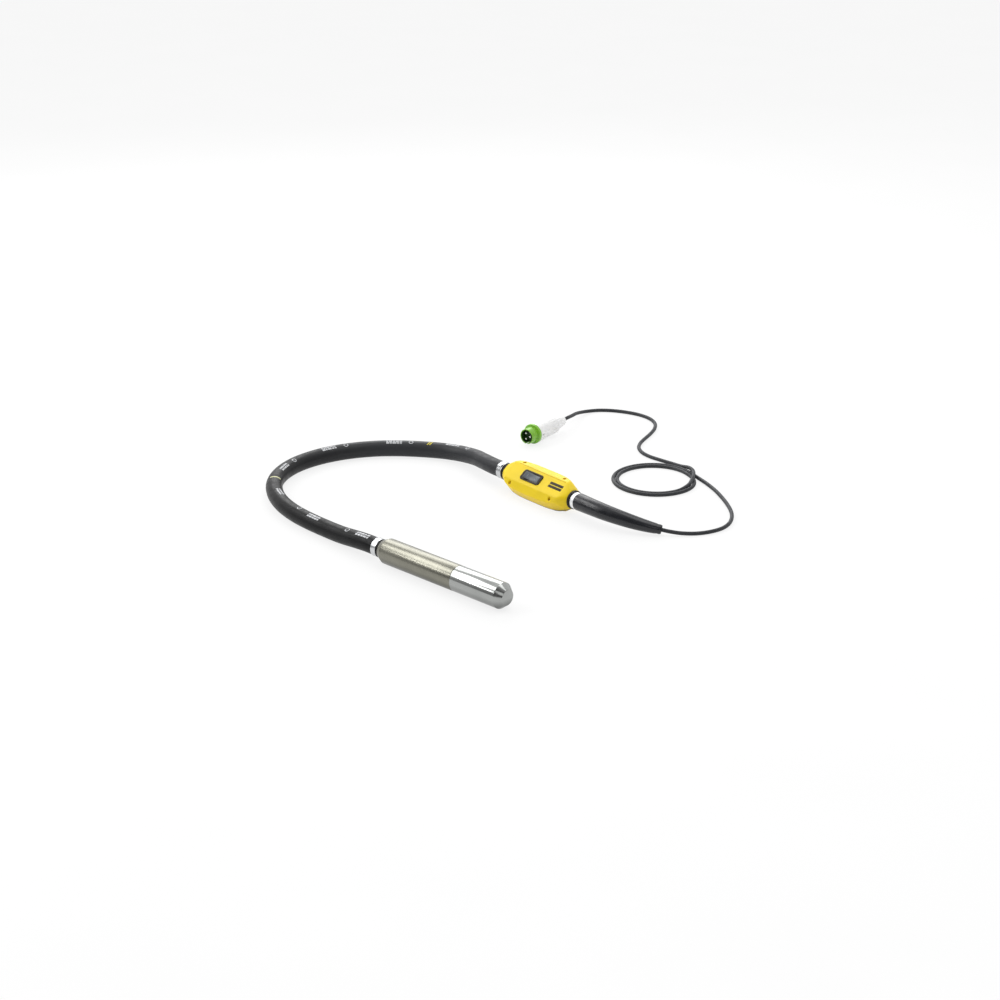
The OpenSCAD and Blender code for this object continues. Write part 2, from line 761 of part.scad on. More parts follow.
module housing_bottom() {
  color("#f2c91d") at_housing() {
    difference() {
      housing_shell();
      translate([0, 0, split_z - gasket_t + housing_h / 2])
        cube([housing_len + 2, housing_w + 2, housing_h], center = true);
    }
    difference() {
      for (x = [-1, 1]) translate([x * clamp_at, 0, (-half_h - loose) / 2 + 1])
        cube([clamp_len, clamp_w, half_h - loose - 2], center = true);
      rotate([0, 90, 0]) rod(inner_cable_d + 2 * running, -housing_len, 0);
      rotate([0, 90, 0]) rod(cord_d + 2 * running, 0, housing_len);
      for (x = [-1, 1], y = [-1, 1]) translate([x * clamp_at, y * clamp_screw_y, 0])
        rod(clamp_screw_d + 2 * slip, -14, past);
    }
  }
}

module housing_gasket() {
  color("#2a2a2a") at_housing() intersection() {
    difference() {
      housing_form(0, 0);
      housing_form(wall, end_wall);
      rotate([0, 90, 0]) rod(2 * (thread_r + slip), -housing_len, housing_len);
      at_screws() rod(boss_d + seat, -housing_h, housing_h);
    }
    translate([0, 0, split_z - gasket_t / 2])
      cube([housing_len, housing_w, gasket_t - 2 * slip], center = true);
  }
}

module housing_screws() {
  color("#3c3f43") at_housing() at_screws() difference() {
    union() {
      rod(screw_d, -half_h + 9, screw_head_z + past);
      rod(screw_head_d, screw_head_z, screw_head_z + screw_head_t);
    }
    translate([0, 0, screw_head_z + screw_head_t - 1.6]) cylinder(d = 4.4, h = 3, $fn = 6);
  }
}

module nipple_nuts() {
  color("#a9adb1") along_housing() for (side = [-1, 1]) {
    at = side * (half_len - end_wall - nut_t / 2);
    difference() {
      translate([0, 0, at]) cylinder(d = nut_w / cos(30), h = nut_t - 2 * seat, center = true,
        $fn = 6);
      rod(2 * (thread_r + slip), at - nut_t, at + nut_t);
    }
  }
}

module boot_nipple() {
  color("#b9bcbf") along_housing() difference() {
    union() {
      rod(2 * thread_r, half_len - end_wall - nut_t - 2, boot_start);
      rod(nipple_d, boot_start - past, boot_start + nipple_len - 4);
    }
    rod(cord_d + 0.8, 0, boot_start + nipple_len);
  }
}

module boot_ring() {
  color("#222222") along_housing()
    pipe(boot_ring_d, 2 * (thread_r + slip), half_len, half_len + boot_ring_w);
}

module boot_ferrule() {
  color("#e8eaec") along_housing()
    pipe(ferrule_d, 2 * (thread_r + slip), half_len + boot_ring_w + seat, boot_start - seat);
}

module cable_clamps() {
  color("#5a5d61") at_housing() for (side = [-1, 1]) difference() {
    translate([side * clamp_at, 0, clamp_h / 2]) cube([clamp_len, clamp_w, clamp_h],
      center = true);
    rotate([0, 90, 0]) rod(inner_cable_d + 2 * running, -housing_len, 0);
    rotate([0, 90, 0]) rod(cord_d + 2 * running, 0, housing_len);
    for (y = [-1, 1]) translate([side * clamp_at, y * clamp_screw_y, 0])
      rod(clamp_screw_d + 2 * slip, -past, clamp_h + past);
  }
}

module clamp_screws() {
  color("#b4b8bc") at_housing() for (x = [-1, 1], y = [-1, 1])
    translate([x * clamp_at, y * clamp_screw_y, 0]) {
      rod(clamp_screw_d, -13, clamp_h + slip);
      rod(clamp_screw_d + 2.6, clamp_h + slip, clamp_h + 2);
    }
}

module terminal_block() {
  color("#d8d6c8") at_housing() difference() {
    translate([terminal_x - terminal_len / 2, -terminal_w / 2, -half_h + wall])
      cube([terminal_len, terminal_w, terminal_top + half_h - wall]);
    for (x = [-1, 1], y = [-1, 1])
      translate([terminal_x + x * terminal_screw_x, y * terminal_screw_y, 0])
        rod(4 + 2 * slip, terminal_top - 6.5, 0);
  }
}

module terminal_screws() {
  color("#c9b037") at_housing() for (x = [-1, 1], y = [-1, 1])
    translate([terminal_x + x * terminal_screw_x, y * terminal_screw_y, 0]) {
      rod(4, terminal_top - 6, terminal_top + slip);
      rod(6, terminal_top + slip, terminal_top + 1.5);
    }
}

module wire(points, r = 1.1) {
  swept_rod(points, r, 6);
}

module internal_wires() {
  low = contact_bottom - 4;
  end = cable_end - 0.7;
  post = terminal_top + 2.8;
  color("#8e2f2f") at_housing() for (side = [-1, 1]) {
    wire([[-end, side * 2.2, 0], [-end + 9, side * 6, low],
      [switch_x + side * contact_x, side * 6, low],
      [switch_x + side * contact_x, 0, contact_bottom - 1.2]]);
    wire([[end, side * 2.2, 0], [end - 5, side * terminal_screw_y, 0],
      [terminal_x + terminal_screw_x, side * terminal_screw_y, post]]);
    wire([[terminal_x - terminal_screw_x, side * terminal_screw_y, post],
      [terminal_x - terminal_len, side * 10, low + 1], [-end + 13, side * 10, low + 1],
      [-end, side * 4.1, 0]], 0.7);
  }
}

// ---- Switch ----

module at_switch() {
  at_housing() translate([switch_x, 0, 0]) children();
}

module cross_pin(d, half, z) {
  translate([0, 0, z]) rotate([90, 0, 0]) rod(d, -half, half);
}

module switch_frame() {
  color("#1d1e20") at_switch() translate([0, 0, half_h + slip]) linear_extrude(frame_t)
    difference() {
      round_rect(frame_len, frame_w, frame_corner_r);
      square([rocker_slot_len, rocker_slot_w], center = true);
    }
}

module switch_base() {
  color("#2b2c2f") at_switch() difference() {
    translate([0, 0, (base_floor + half_h) / 2])
      cube([base_len, base_w, half_h - base_floor], center = true);
    translate([0, 0, base_floor + base_floor_t + housing_h / 2])
      cube([rocker_slot_len, rocker_slot_w, housing_h], center = true);
    cross_pin(rocker_pin_d + 2 * slip, base_w, rocker_z);
    cross_pin(seesaw_pin_d + 2 * slip, base_w, seesaw_z);
    for (x = [-1, 1]) translate([x * contact_x, 0, 0])
      rod(contact_d + 2 * slip, 0, contact_top);
  }
}

module fixed_contacts() {
  color("#c08a3e") at_switch() for (x = [-1, 1]) translate([x * contact_x, 0, 0])
    rod(contact_d, contact_bottom, contact_top);
}

module rocker_pin() {
  color("#b9bcbf") at_switch() cross_pin(rocker_pin_d, base_w / 2 - 0.2, rocker_z);
}

module seesaw_pin() {
  color("#b9bcbf") at_switch() cross_pin(seesaw_pin_d, base_w / 2 - 0.2, seesaw_z);
}

// The rocker rests in its OFF position, with the end towards the cord pressed in
module at_rocker() {
  at_switch() translate([0, 0, rocker_z]) rotate([0, rocker_travel / 2, 0]) children();
}

module rocker_cap() {
  rise = rocker_half * tan(rocker_travel / 2);
  color("#4a5560") at_rocker() difference() {
    union() {
      rotate([90, 0, 0]) linear_extrude(rocker_slot_w - 0.6, center = true)
        polygon([[-rocker_half - 0.8, 5], [-rocker_half, rocker_mid + rise], [0, rocker_mid],
          [rocker_half, rocker_mid + rise], [rocker_half + 0.8, 5], [6, 3], [-6, 3]]);
      cross_pin(9.2, rocker_slot_w / 2 - loose, 0);
      translate([-3, -4, -5.6]) cube([6, 8, 6]);
    }
    cross_pin(rocker_pin_d + 2 * running, rocker_slot_w, 0);
    rod(plunger_d + 0.1, -9, -rocker_pin_d / 2 - 0.6);
  }
}

module rocker_plunger() {
  color("#c08a3e") at_rocker() rod(plunger_d, -plunger_tip, -rocker_pin_d / 2 - 0.7);
}

module contact_seesaw() {
  color("#c8a24a") at_switch() translate([0, 0, seesaw_z]) rotate([0, -seesaw_travel / 2, 0])
    difference() {
      union() {
        cube([seesaw_len, seesaw_w, seesaw_t], center = true);
        cross_pin(4, seesaw_w / 2, 0);
      }
      cross_pin(seesaw_pin_d + 2 * running, seesaw_w, 0);
      translate([-3, -seesaw_w / 4, seesaw_t / 2]) cube([6, seesaw_w / 2, 3]);
    }
}

// ---- Bend protector and cord ----

module bend_protector() {
  n = len(boot_route);
  body = boot_d / 2;
  tip = boot_tip_d / 2;
  color("#2f3134") swept_pipe(boot_route,
    [for (i = [0 : n - 1]) let (t = i / (n - 1)) i == n - 1 ? tip - 0.7
      : body - (body - tip) * (0.35 * t + 0.65 * pow(t, 3)) - (i == 0 ? 0.6 : 0)],
    [for (i = [0 : n - 1]) i < 3 ? nipple_d / 2 + 0.7 : cord_d / 2 + 0.7], 16);
}

module cord_tail() {
  color("#3a3b3e") swept_rod(tail_route, cord_d / 2, 8);
}

module power_cord() {
  color("#3a3b3e") swept_rod(cord_route, cord_d / 2, 8);
}

// ---- Plug ----

module at_pins() {
  for (k = [0 : pin_count - 1]) rotate(30 + k * 360 / pin_count)
    translate([pin_circle_d / 2, 0, 0]) children();
}

module plug_collar() {
  color("#6cb52d") at_plug() difference() {
    union() {
      rod(plug_shroud_d, 0, flange_end);
      translate([0, 0, plug_shroud_len])
        cylinder(d1 = plug_flange_d - 2.4, d2 = plug_flange_d, h = 1.2);
      rod(plug_flange_d, plug_shroud_len + 1.2, flange_end);
      rod(collar_spigot_d, flange_end - past, flange_end + collar_spigot_len);
    }
    rod(plug_shroud_bore_d, -past, plug_len);
    translate([0, -2.5, -past]) cube([plug_flange_d, 5, 14 + past]);
    for (side = [-1, 1]) translate([0, 0, plug_screw_at]) rotate([side * 90, 0, 0])
      rod(plug_screw_d + 2 * slip, collar_spigot_d / 2 - 2, plug_flange_d);
  }
}

module plug_insert() {
  color("#1f4d1d") at_plug() difference() {
    rod(plug_shroud_bore_d - 2 * slip, insert_at, insert_at + insert_len);
    at_pins() rod(pin_root_d + 2 * slip, 0, plug_len);
  }
}

module plug_pins() {
  color("#d7dadd") at_plug() at_pins() {
    translate([0, 0, pin_from]) cylinder(d1 = pin_d - 1.6, d2 = pin_d, h = 0.8);
    rod(pin_d, pin_from + 0.8, insert_at + past);
    rod(pin_root_d, insert_at, pin_to);
  }
}

module plug_shell() {
  color("#f0f1f2") at_plug() difference() {
    union() {
      rod(plug_flange_d - 1, flange_end + seat, flange_end + 12);
      translate([0, 0, flange_end + 12])
        cylinder(d1 = plug_flange_d - 1, d2 = plug_flange_d - 5.5, h = 28);
      translate([0, 0, flange_end + 40])
        cylinder(d1 = plug_flange_d - 5.5, d2 = plug_flange_d - 6, h = cap_at - flange_end - 40);
    }
    rod(collar_spigot_d + 2 * slip, 0, flange_end + collar_spigot_len + seat);
    rod(collar_spigot_d - 5, 0, cap_at - 6);
    rod(20, 0, plug_len);
    for (side = [-1, 1]) translate([0, 0, plug_screw_at]) rotate([side * 90, 0, 0])
      rod(plug_screw_d + 2 * slip, 0, plug_flange_d);
  }
}

module plug_cap() {
  color("#e6e7e8") at_plug() difference() {
    union() {
      rod(cap_d, cap_at + seat, cap_at + 22);
      translate([0, 0, cap_at + 22]) cylinder(d1 = cap_d, d2 = cap_d - 6, h = plug_len - cap_at - 22);
    }
    rod(gland_d, cap_at - past, plug_len - 9);
    rod(cord_d + 0.8, 0, plug_len + past);
  }
}

module plug_gland_seal() {
  color("#232326") at_plug()
    pipe(gland_d - 2 * slip, cord_d + 2 * running, plug_len - 26, plug_len - 9 - seat);
}

module plug_wires() {
  color("#8e2f2f") at_plug() rotate([0, -90, 0]) for (k = [0 : pin_count - 1]) {
    a = 30 + k * 360 / pin_count;
    wire([[pin_to + seat, pin_circle_d / 2 * sin(a), -pin_circle_d / 2 * cos(a)],
      [pin_to + 20, pin_circle_d / 2 * sin(a), -pin_circle_d / 2 * cos(a)],
      [plug_cord_end - 1, 2.4 * sin(a), -2.4 * cos(a)]]);
  }
}

module plug_screws() {
  color("#b4b8bc") at_plug() for (side = [-1, 1]) translate([0, 0, plug_screw_at])
    rotate([side * 90, 0, 0])
      rod(plug_screw_d, collar_spigot_d / 2 - 1.8, plug_flange_d / 2 - 1);
}

rear_end_piece();
head_tube();
head_nose();
stator_core();
stator_winding();
thermal_cutout();
motor_leads();
bearing_outer_rings();
bore_circlips();
preload_spring();
head_o_rings();
head_cable_seal();
front_clamp();
rotor_shaft();
rotor_core();
rotor_end_rings();
eccentric_weight();
eccentric_key();
bearing_inner_rings();
shaft_circlips();
bearing_balls();
bearing_cages();
protective_hose();
inner_cable();
hose_nipple();
hose_ring();
rear_clamp();
housing_top();
housing_bottom();
housing_gasket();
housing_screws();
nipple_nuts();
boot_nipple();
boot_ring();
boot_ferrule();
bend_protector();
cord_tail();
power_cord();
cable_clamps();
clamp_screws();
terminal_block();
terminal_screws();
internal_wires();
switch_frame();
switch_base();
fixed_contacts();
rocker_pin();
seesaw_pin();
rocker_cap();
rocker_plunger();
contact_seesaw();
plug_collar();
plug_insert();
plug_pins();
plug_shell();
plug_cap();
plug_gland_seal();
plug_wires();
plug_screws();
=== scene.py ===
"""The concrete vibrator's looks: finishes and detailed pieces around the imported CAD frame."""
import math

import bmesh
import bpy
import numpy as np
from mathutils import Matrix, Vector


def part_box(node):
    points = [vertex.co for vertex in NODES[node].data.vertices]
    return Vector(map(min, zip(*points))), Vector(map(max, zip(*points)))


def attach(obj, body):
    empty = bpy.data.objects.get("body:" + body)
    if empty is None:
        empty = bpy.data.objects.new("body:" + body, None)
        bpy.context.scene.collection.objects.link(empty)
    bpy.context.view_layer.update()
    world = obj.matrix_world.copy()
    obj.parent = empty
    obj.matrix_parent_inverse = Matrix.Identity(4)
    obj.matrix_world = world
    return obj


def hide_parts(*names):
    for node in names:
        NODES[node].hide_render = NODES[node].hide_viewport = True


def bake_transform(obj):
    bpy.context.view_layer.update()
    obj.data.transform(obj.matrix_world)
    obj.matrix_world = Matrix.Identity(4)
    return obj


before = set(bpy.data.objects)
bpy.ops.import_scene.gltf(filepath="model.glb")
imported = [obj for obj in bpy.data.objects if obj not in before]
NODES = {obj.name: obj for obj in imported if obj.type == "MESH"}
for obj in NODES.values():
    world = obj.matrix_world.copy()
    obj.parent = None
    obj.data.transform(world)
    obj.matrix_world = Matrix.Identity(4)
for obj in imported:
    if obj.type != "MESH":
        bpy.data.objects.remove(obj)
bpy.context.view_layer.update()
MM = 0.001


# -------------------------------- places
def middle(node):
    low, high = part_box(node)
    return (low + high) / 2


HEAD_R = 28.5 * MM
HEAD_LENGTH = 0.365
HEAD_AT = Vector((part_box("head_nose")[1].x - HEAD_LENGTH, middle("head_tube").y, HEAD_R))
HOUSE_AT = middle("nipple_nuts")
PLUG_AT = Vector((-0.3588, 0.4749, 0.025))
HOUSE_YAW = math.radians(-6)
HOUSE_ROLL = math.radians(38)
PLUG_YAW = math.radians(96)
HEAD = Matrix.Translation(HEAD_AT) @ Matrix.Rotation(math.pi / 2, 4, "Y")
HOUSE = (Matrix.Translation(HOUSE_AT) @ Matrix.Rotation(HOUSE_YAW, 4, "Z")
         @ Matrix.Rotation(HOUSE_ROLL, 4, "X"))
HOUSE_AXIS = HOUSE @ Matrix.Rotation(math.pi / 2, 4, "Y")
PLUG = (Matrix.Translation(PLUG_AT) @ Matrix.Rotation(PLUG_YAW, 4, "Z")
        @ Matrix.Rotation(math.pi / 2, 4, "Y"))


def along_housing(d):
    """A point on the housing's axis, d millimetres towards the cord."""
    return HOUSE @ Vector((d * MM, 0, 0))


def along_plug(d):
    """A point on the plug's axis, d millimetres from its open end."""
    return PLUG @ Vector((0, 0, d * MM))


# -------------------------------- routes, as in the part's source
CORD_R = 0.0045
INNER_R = 0.005
COIL_X, COIL_Y, COIL_R = 0.126, 0.7625, 0.0975
COIL_START, COIL_STEP, COIL_KNOTS = 72, 22, 31
COIL_SECOND_TURN, COIL_TIGHTER = 372, 0.0095
COIL_LIFT_FROM, COIL_LIFT = 692, 0.0000023


def from_head(points):
    """Points given from the middle of the head's rear face, with their real height."""
    return [Vector((x + HEAD_AT.x, y + HEAD_AT.y, z)) for x, y, z in points]


HOSE_LAY = from_head([
    (-0.090, 0.001, 0.0258), (-0.135, 0.003, 0.0218), (-0.190, 0.007, 0.0197),
    (-0.250, 0.011, 0.0195), (-0.310, 0.020, 0.0195), (-0.370, 0.038, 0.0195),
    (-0.425, 0.066, 0.0195), (-0.475, 0.106, 0.0195), (-0.510, 0.156, 0.0195),
    (-0.530, 0.213, 0.0195), (-0.534, 0.270, 0.0195), (-0.525, 0.326, 0.0195),
    (-0.504, 0.380, 0.0195), (-0.471, 0.430, 0.0195), (-0.431, 0.470, 0.0195),
    (-0.386, 0.5035, 0.0195), (-0.336, 0.528, 0.021), (-0.285, 0.537, 0.0245),
    (-0.235, 0.532, 0.0295), (-0.195, 0.520, 0.033)])
BOOT_LAY = from_head([
    (0.209, 0.4741, 0.0337), (0.233, 0.477, 0.0314), (0.257, 0.4823, 0.0283),
    (0.2805, 0.490, 0.0244), (0.303, 0.4995, 0.0202), (0.324, 0.5102, 0.0162),
    (0.3435, 0.522, 0.0125)])
CORD_OUT = from_head([
    (0.360, 0.533, 0.0092), (0.380, 0.550, 0.006), (0.401, 0.5735, 0.0045),
    (0.417, 0.602, 0.0045), (0.424, 0.635, 0.0045), (0.419, 0.666, 0.0045),
    (0.4045, 0.6955, 0.0045), (0.382, 0.724, 0.0045), (0.352, 0.751, 0.0045),
    (0.317, 0.777, 0.0045), (0.274, 0.8045, 0.0045), (0.230, 0.8265, 0.0045),
    (0.187, 0.8435, 0.0045)])
CORD_BACK = from_head([
    (0.206, 0.7995, 0.0114), (0.1935, 0.8225, 0.014), (0.176, 0.8455, 0.014),
    (0.157, 0.860, 0.0128), (0.140, 0.868, 0.0096), (0.118, 0.8715, 0.0055),
    (0.090, 0.8725, 0.0045), (0.055, 0.8715, 0.0045), (0.020, 0.8725, 0.0045),
    (-0.010, 0.881, 0.0045), (-0.036, 0.8995, 0.0045), (-0.054, 0.926, 0.0045),
    (-0.066, 0.956, 0.0045), (-0.079, 0.995, 0.0045), (-0.096, 1.033, 0.0045),
    (-0.120, 1.0635, 0.0045), (-0.152, 1.0815, 0.0045), (-0.188, 1.086, 0.0045),
    (-0.224, 1.079, 0.0045), (-0.259, 1.064, 0.0045), (-0.287, 1.042, 0.0045),
    (-0.301, 1.013, 0.006), (-0.3005, 0.984, 0.0105), (-0.2925, 0.9575, 0.016),
    (-0.281, 0.932, 0.021)])


def coil_points():
    """The loop's two turns, the second a little tighter, lifted at its end to cross the first."""
    found = []
    for k in range(COIL_KNOTS):
        a = COIL_START + COIL_STEP * k
        r = COIL_R - COIL_TIGHTER * min(max((a - COIL_SECOND_TURN) / 50, 0), 1)
        z = CORD_R + COIL_LIFT * max(a - COIL_LIFT_FROM, 0) ** 2
        found.append((COIL_X + r * math.cos(math.radians(a)),
                      COIL_Y + r * math.sin(math.radians(a)), z))
    return from_head(found)


HEAD_END = [HEAD_AT + Vector((-d * MM, 0, 0)) for d in (0.3, 25.3, 50.3)]
HOUSING_END = [along_housing(-d) for d in (166, 143)]
HOSE_ROUTE = HEAD_END + HOSE_LAY + HOUSING_END + [along_housing(-119)]
INNER_ROUTE = ([HEAD_AT + Vector((0.014, 0, 0))] + HEAD_END + HOSE_LAY + HOUSING_END
               + [along_housing(-119), along_housing(-78)])
BOOT_ROUTE = [along_housing(d) for d in (128, 150, 172)] + BOOT_LAY
TAIL_END = BOOT_LAY[-1] + (BOOT_LAY[-2] - BOOT_LAY[-1]).normalized() * 0.015
TAIL_ROUTE = [along_housing(78), along_housing(118)] + BOOT_ROUTE[:-1] + [TAIL_END]
CORD_ROUTE = ([BOOT_LAY[-1]] + CORD_OUT + coil_points() + CORD_BACK
              + [along_plug(d) for d in (174, 150, 127)])


# -------------------------------- mesh helpers
def smooth_path(points, steps):
    """A smooth curve through the points, with this many steps from each to the next."""
    p = [np.array(v, float) for v in points]
    out = []
    for i in range(len(p) - 1):
        a, b, c, d = p[max(i - 1, 0)], p[i], p[i + 1], p[min(i + 2, len(p) - 1)]
        for k in range(steps):
            t = k / steps
            out.append(0.5 * (2 * b + (c - a) * t + (2 * a - 5 * b + 4 * c - d) * t * t
                              + (3 * b - a - 3 * c + d) * t ** 3))
    out.append(p[-1])
    return np.array(out)


def frames_along(path):
    """Tangent, side and up at each point of a path, with the side kept level."""
    t = np.gradient(path, axis=0)
    t /= np.linalg.norm(t, axis=1)[:, None]
    s = np.cross(t, [0, 0, 1.0])
    s /= np.linalg.norm(s, axis=1)[:, None]
    return t, s, np.cross(s, t)


def lengths_along(path):
    return np.r_[0, np.cumsum(np.linalg.norm(np.diff(path, axis=0), axis=1))]


def add_object(name, data):
    item = bpy.data.objects.new(name, data)
    bpy.context.scene.collection.objects.link(item)
    return item


def new_piece(name, verts, faces, sharp=35):
    mesh = bpy.data.meshes.new(name)
    mesh.from_pydata([tuple(v) for v in verts], [], faces)
    mesh.validate()
    piece = add_object(name, mesh)
    finish_mesh(piece, sharp)
    return piece


def finish_mesh(piece, sharp):
    """Closes the seams, turns the faces outwards, and shades smooth up to a crease angle."""
    bm = bmesh.new()
    bm.from_mesh(piece.data)
    bmesh.ops.remove_doubles(bm, verts=bm.verts, dist=1e-7)
    bmesh.ops.recalc_face_normals(bm, faces=bm.faces)
    limit = math.radians(sharp)
    for face in bm.faces:
        face.smooth = True
    for edge in bm.edges:
        edge.smooth = len(edge.link_faces) == 2 and edge.calc_face_angle(math.pi) < limit
    bm.to_mesh(piece.data)
    bm.free()


def loft(name, rings, close_loop=False, sharp=35):
    """A skin over rings of points; the ends are closed with flat faces, or the rings join up."""
    rows, columns = len(rings), len(rings[0])
    verts = [v for r in rings for v in r]
    faces = []
    for i in range(rows if close_loop else rows - 1):
        a, b = i * columns, (i + 1) % rows * columns
        for k in range(columns):
            j = (k + 1) % columns
            faces.append((a + k, a + j, b + j, b + k))
    if not close_loop:
        faces.append(tuple(range(columns - 1, -1, -1)))
        faces.append(tuple((rows - 1) * columns + k for k in range(columns)))
    return new_piece(name, verts, faces, sharp)


def rounded(points, radii, steps):
    """A polygon's corners rounded off; one radius for all or a list, and 0 leaves a corner sharp."""
    p = [np.array(v, float) for v in points]
    n = len(p)
    out = []
    for i in range(n):
        r = radii[i] if hasattr(radii, "__len__") else radii
        a, b, c = p[i - 1], p[i], p[(i + 1) % n]
        u, v = a - b, c - b
        lu, lv = np.linalg.norm(u), np.linalg.norm(v)
        if r <= 0 or lu < 1e-9 or lv < 1e-9:
            out.append(b)
            continue
        u, v = u / lu, v / lv
        half = math.acos(max(-1, min(1, float(u @ v)))) / 2
        if half > math.pi / 2 - 1e-3:
            out.append(b)
            continue
        cut = min(r / math.tan(half), 0.48 * min(lu, lv))
        r = cut * math.tan(half)
        w = (u + v) / np.linalg.norm(u + v)
        centre = b + w * r / math.sin(half)
        s, e = b + u * cut - centre, b + v * cut - centre
        angle = math.acos(max(-1, min(1, float(s @ e) / (r * r))))
        for k in range(steps + 1):
            t = k / steps
            q = (s * math.sin((1 - t) * angle) + e * math.sin(t * angle)) / math.sin(angle)
            out.append(centre + q)
    return out


def lathe(name, profile, place, radii, sides, shape=None, steps=4):
    """A ring turned from a closed outline of (radius, station) in millimetres round local z; shape,
    if given, changes the radius by the angle."""
    outline = rounded(profile, radii, steps)
    rings = []
    for r, z in outline:
        ring = []
        for k in range(sides):
            a = 2 * math.pi * k / sides
            q = shape(r, z, a) if shape else r
            ring.append(place @ Vector((q * math.cos(a) * MM, q * math.sin(a) * MM, z * MM)))
        rings.append(ring)
    return loft(name, rings, close_loop=True)


def tube(name, path, radius, sides, bore=None, lip=0.0):
    """A round tube along a path; radius and bore are numbers or lists, in metres, and lip rounds the
    rims of its ends."""
    t, s, u = frames_along(path)
    n = len(path)
    radius = np.full(n, float(radius)) if np.isscalar(radius) else np.array(radius)
    along = lengths_along(path)
    angle = 2 * np.pi * np.arange(sides) / sides

    def ring(i, r, shift=0.0):
        return [Vector(path[i] + t[i] * shift + r * (math.cos(a) * s[i] + math.sin(a) * u[i]))
                for a in angle]

    rims = [math.pi / 2 * k / 5 for k in range(6)] if lip else []
    rings = [ring(0, radius[0] - lip * (1 - math.sin(a)), lip * (1 - math.cos(a))) for a in rims]
    rings += [ring(i, radius[i]) for i in range(n)
              if not lip or 1.2 * lip < along[i] < along[-1] - 1.2 * lip]
    rings += [ring(n - 1, radius[-1] - lip * (1 - math.sin(a)), -lip * (1 - math.cos(a)))
              for a in reversed(rims)]
    if bore is None:
        return loft(name, rings)
    bore = np.full(n, float(bore)) if np.isscalar(bore) else np.array(bore)
    rings += [ring(i, bore[i]) for i in range(n - 1, -1, -1)]
    return loft(name, rings, close_loop=True)


def merge(name, pieces):
    """Several pieces made into one."""
    bm = bmesh.new()
    for piece in pieces:
        bm.from_mesh(piece.data)
        bpy.data.objects.remove(piece)
    mesh = bpy.data.meshes.new(name)
    bm.to_mesh(mesh)
    bm.free()
    return add_object(name, mesh)


def box_piece(name, place, low, high, bevel=0.0):
    """A block between two corners in millimetres, with rounded edges."""
    bm = bmesh.new()
    bmesh.ops.create_cube(bm, size=1)
    low, high = Vector(low), Vector(high)
    for v in bm.verts:
        for i in range(3):
            v.co[i] = (low[i] if v.co[i] < 0 else high[i]) * MM
    if bevel:
        bmesh.ops.bevel(bm, geom=bm.edges[:], offset=bevel * MM, segments=3, profile=0.5,
                        affect="EDGES", clamp_overlap=True)
    bm.transform(place)
    mesh = bpy.data.meshes.new(name)
    bm.to_mesh(mesh)
    bm.free()
    piece = add_object(name, mesh)
    finish_mesh(piece, 40)
    return piece


def round_outline(length, width, radius, steps, centre=(0, 0)):
    """A rectangle with rounded corners, long in x."""
    x, y = length / 2, width / 2
    return rounded([(centre[0] + x, centre[1] - y), (centre[0] + x, centre[1] + y),
                    (centre[0] - x, centre[1] + y), (centre[0] - x, centre[1] - y)], radius, steps)


def slab(name, place, outline, low, high, bevel):
    """A plate with this outline, from height low to high in millimetres, its top edge rounded."""
    rings = [[(x, y, low) for x, y in outline]]
    for a in (0, math.pi / 4, math.pi / 2):
        rings.append([(x, y, high - bevel + bevel * math.sin(a))
                      for x, y in inset(outline, bevel * (1 - math.cos(a)))])
    rings = [[place @ (Vector(v) * MM) for v in r] for r in rings]
    return loft(name, rings, sharp=40)


def inset(outline, distance):
    """An outline moved inwards along its own normals."""
    o = np.array(outline)
    d = np.roll(o, -1, 0) - np.roll(o, 1, 0)
    n = np.stack([d[:, 1], -d[:, 0]], 1)
    n /= np.linalg.norm(n, axis=1)[:, None] + 1e-12
    sign = 1 if ((o - o.mean(0)) * n).sum() > 0 else -1
    return o - sign * n * distance


def combine(piece, other, operation):
    """Joins the other piece to this one, takes it out of this one, or keeps what the two share."""
    tool = piece.modifiers.new("combine", "BOOLEAN")
    tool.operation, tool.solver, tool.object = operation, "MANIFOLD", other
    bpy.context.view_layer.update()
    graph = bpy.context.evaluated_depsgraph_get()
    mesh = bpy.data.meshes.new_from_object(piece.evaluated_get(graph))
    piece.modifiers.clear()
    old = piece.data
    piece.data = mesh
    bpy.data.meshes.remove(old)
    bpy.data.objects.remove(other)


def cut(piece, cutter):
    combine(piece, cutter, "DIFFERENCE")


# -------------------------------- materials
def node_tree(name):
    mat = bpy.data.materials.new(name)
    mat.use_nodes = True
    nodes, links = mat.node_tree.nodes, mat.node_tree.links
    shader = nodes["Principled BSDF"]
    return mat, nodes, links, shader


def noise(nodes, links, coords, scale, detail, stretch=(1, 1, 1)):
    place = nodes.new("ShaderNodeMapping")
    place.inputs["Scale"].default_value = stretch
    links.new(coords, place.inputs["Vector"])
    n = nodes.new("ShaderNodeTexNoise")
    n.inputs["Scale"].default_value = scale
    n.inputs["Detail"].default_value = detail
    links.new(place.outputs["Vector"], n.inputs["Vector"])
    return n.outputs["Fac"]


def spread(nodes, links, source, low, high, start=0.3, end=0.7):
    """A value that runs from low to high as the source goes from start to end."""
    m = nodes.new("ShaderNodeMapRange")
    m.inputs["From Min"].default_value = start
    m.inputs["From Max"].default_value = end
    m.inputs["To Min"].default_value = low
    m.inputs["To Max"].default_value = high
    links.new(source, m.inputs["Value"])
    return m.outputs["Result"]


def tint(nodes, links, source, first, second):
    """A colour between two, by a noise's middle values."""
    ramp = nodes.new("ShaderNodeValToRGB")
    for element, at, colour in zip(ramp.color_ramp.elements, (0.35, 0.65), (first, second)):
        element.position = at
        element.color = (*colour, 1)
    links.new(source, ramp.inputs["Fac"])
    return ramp.outputs["Color"]


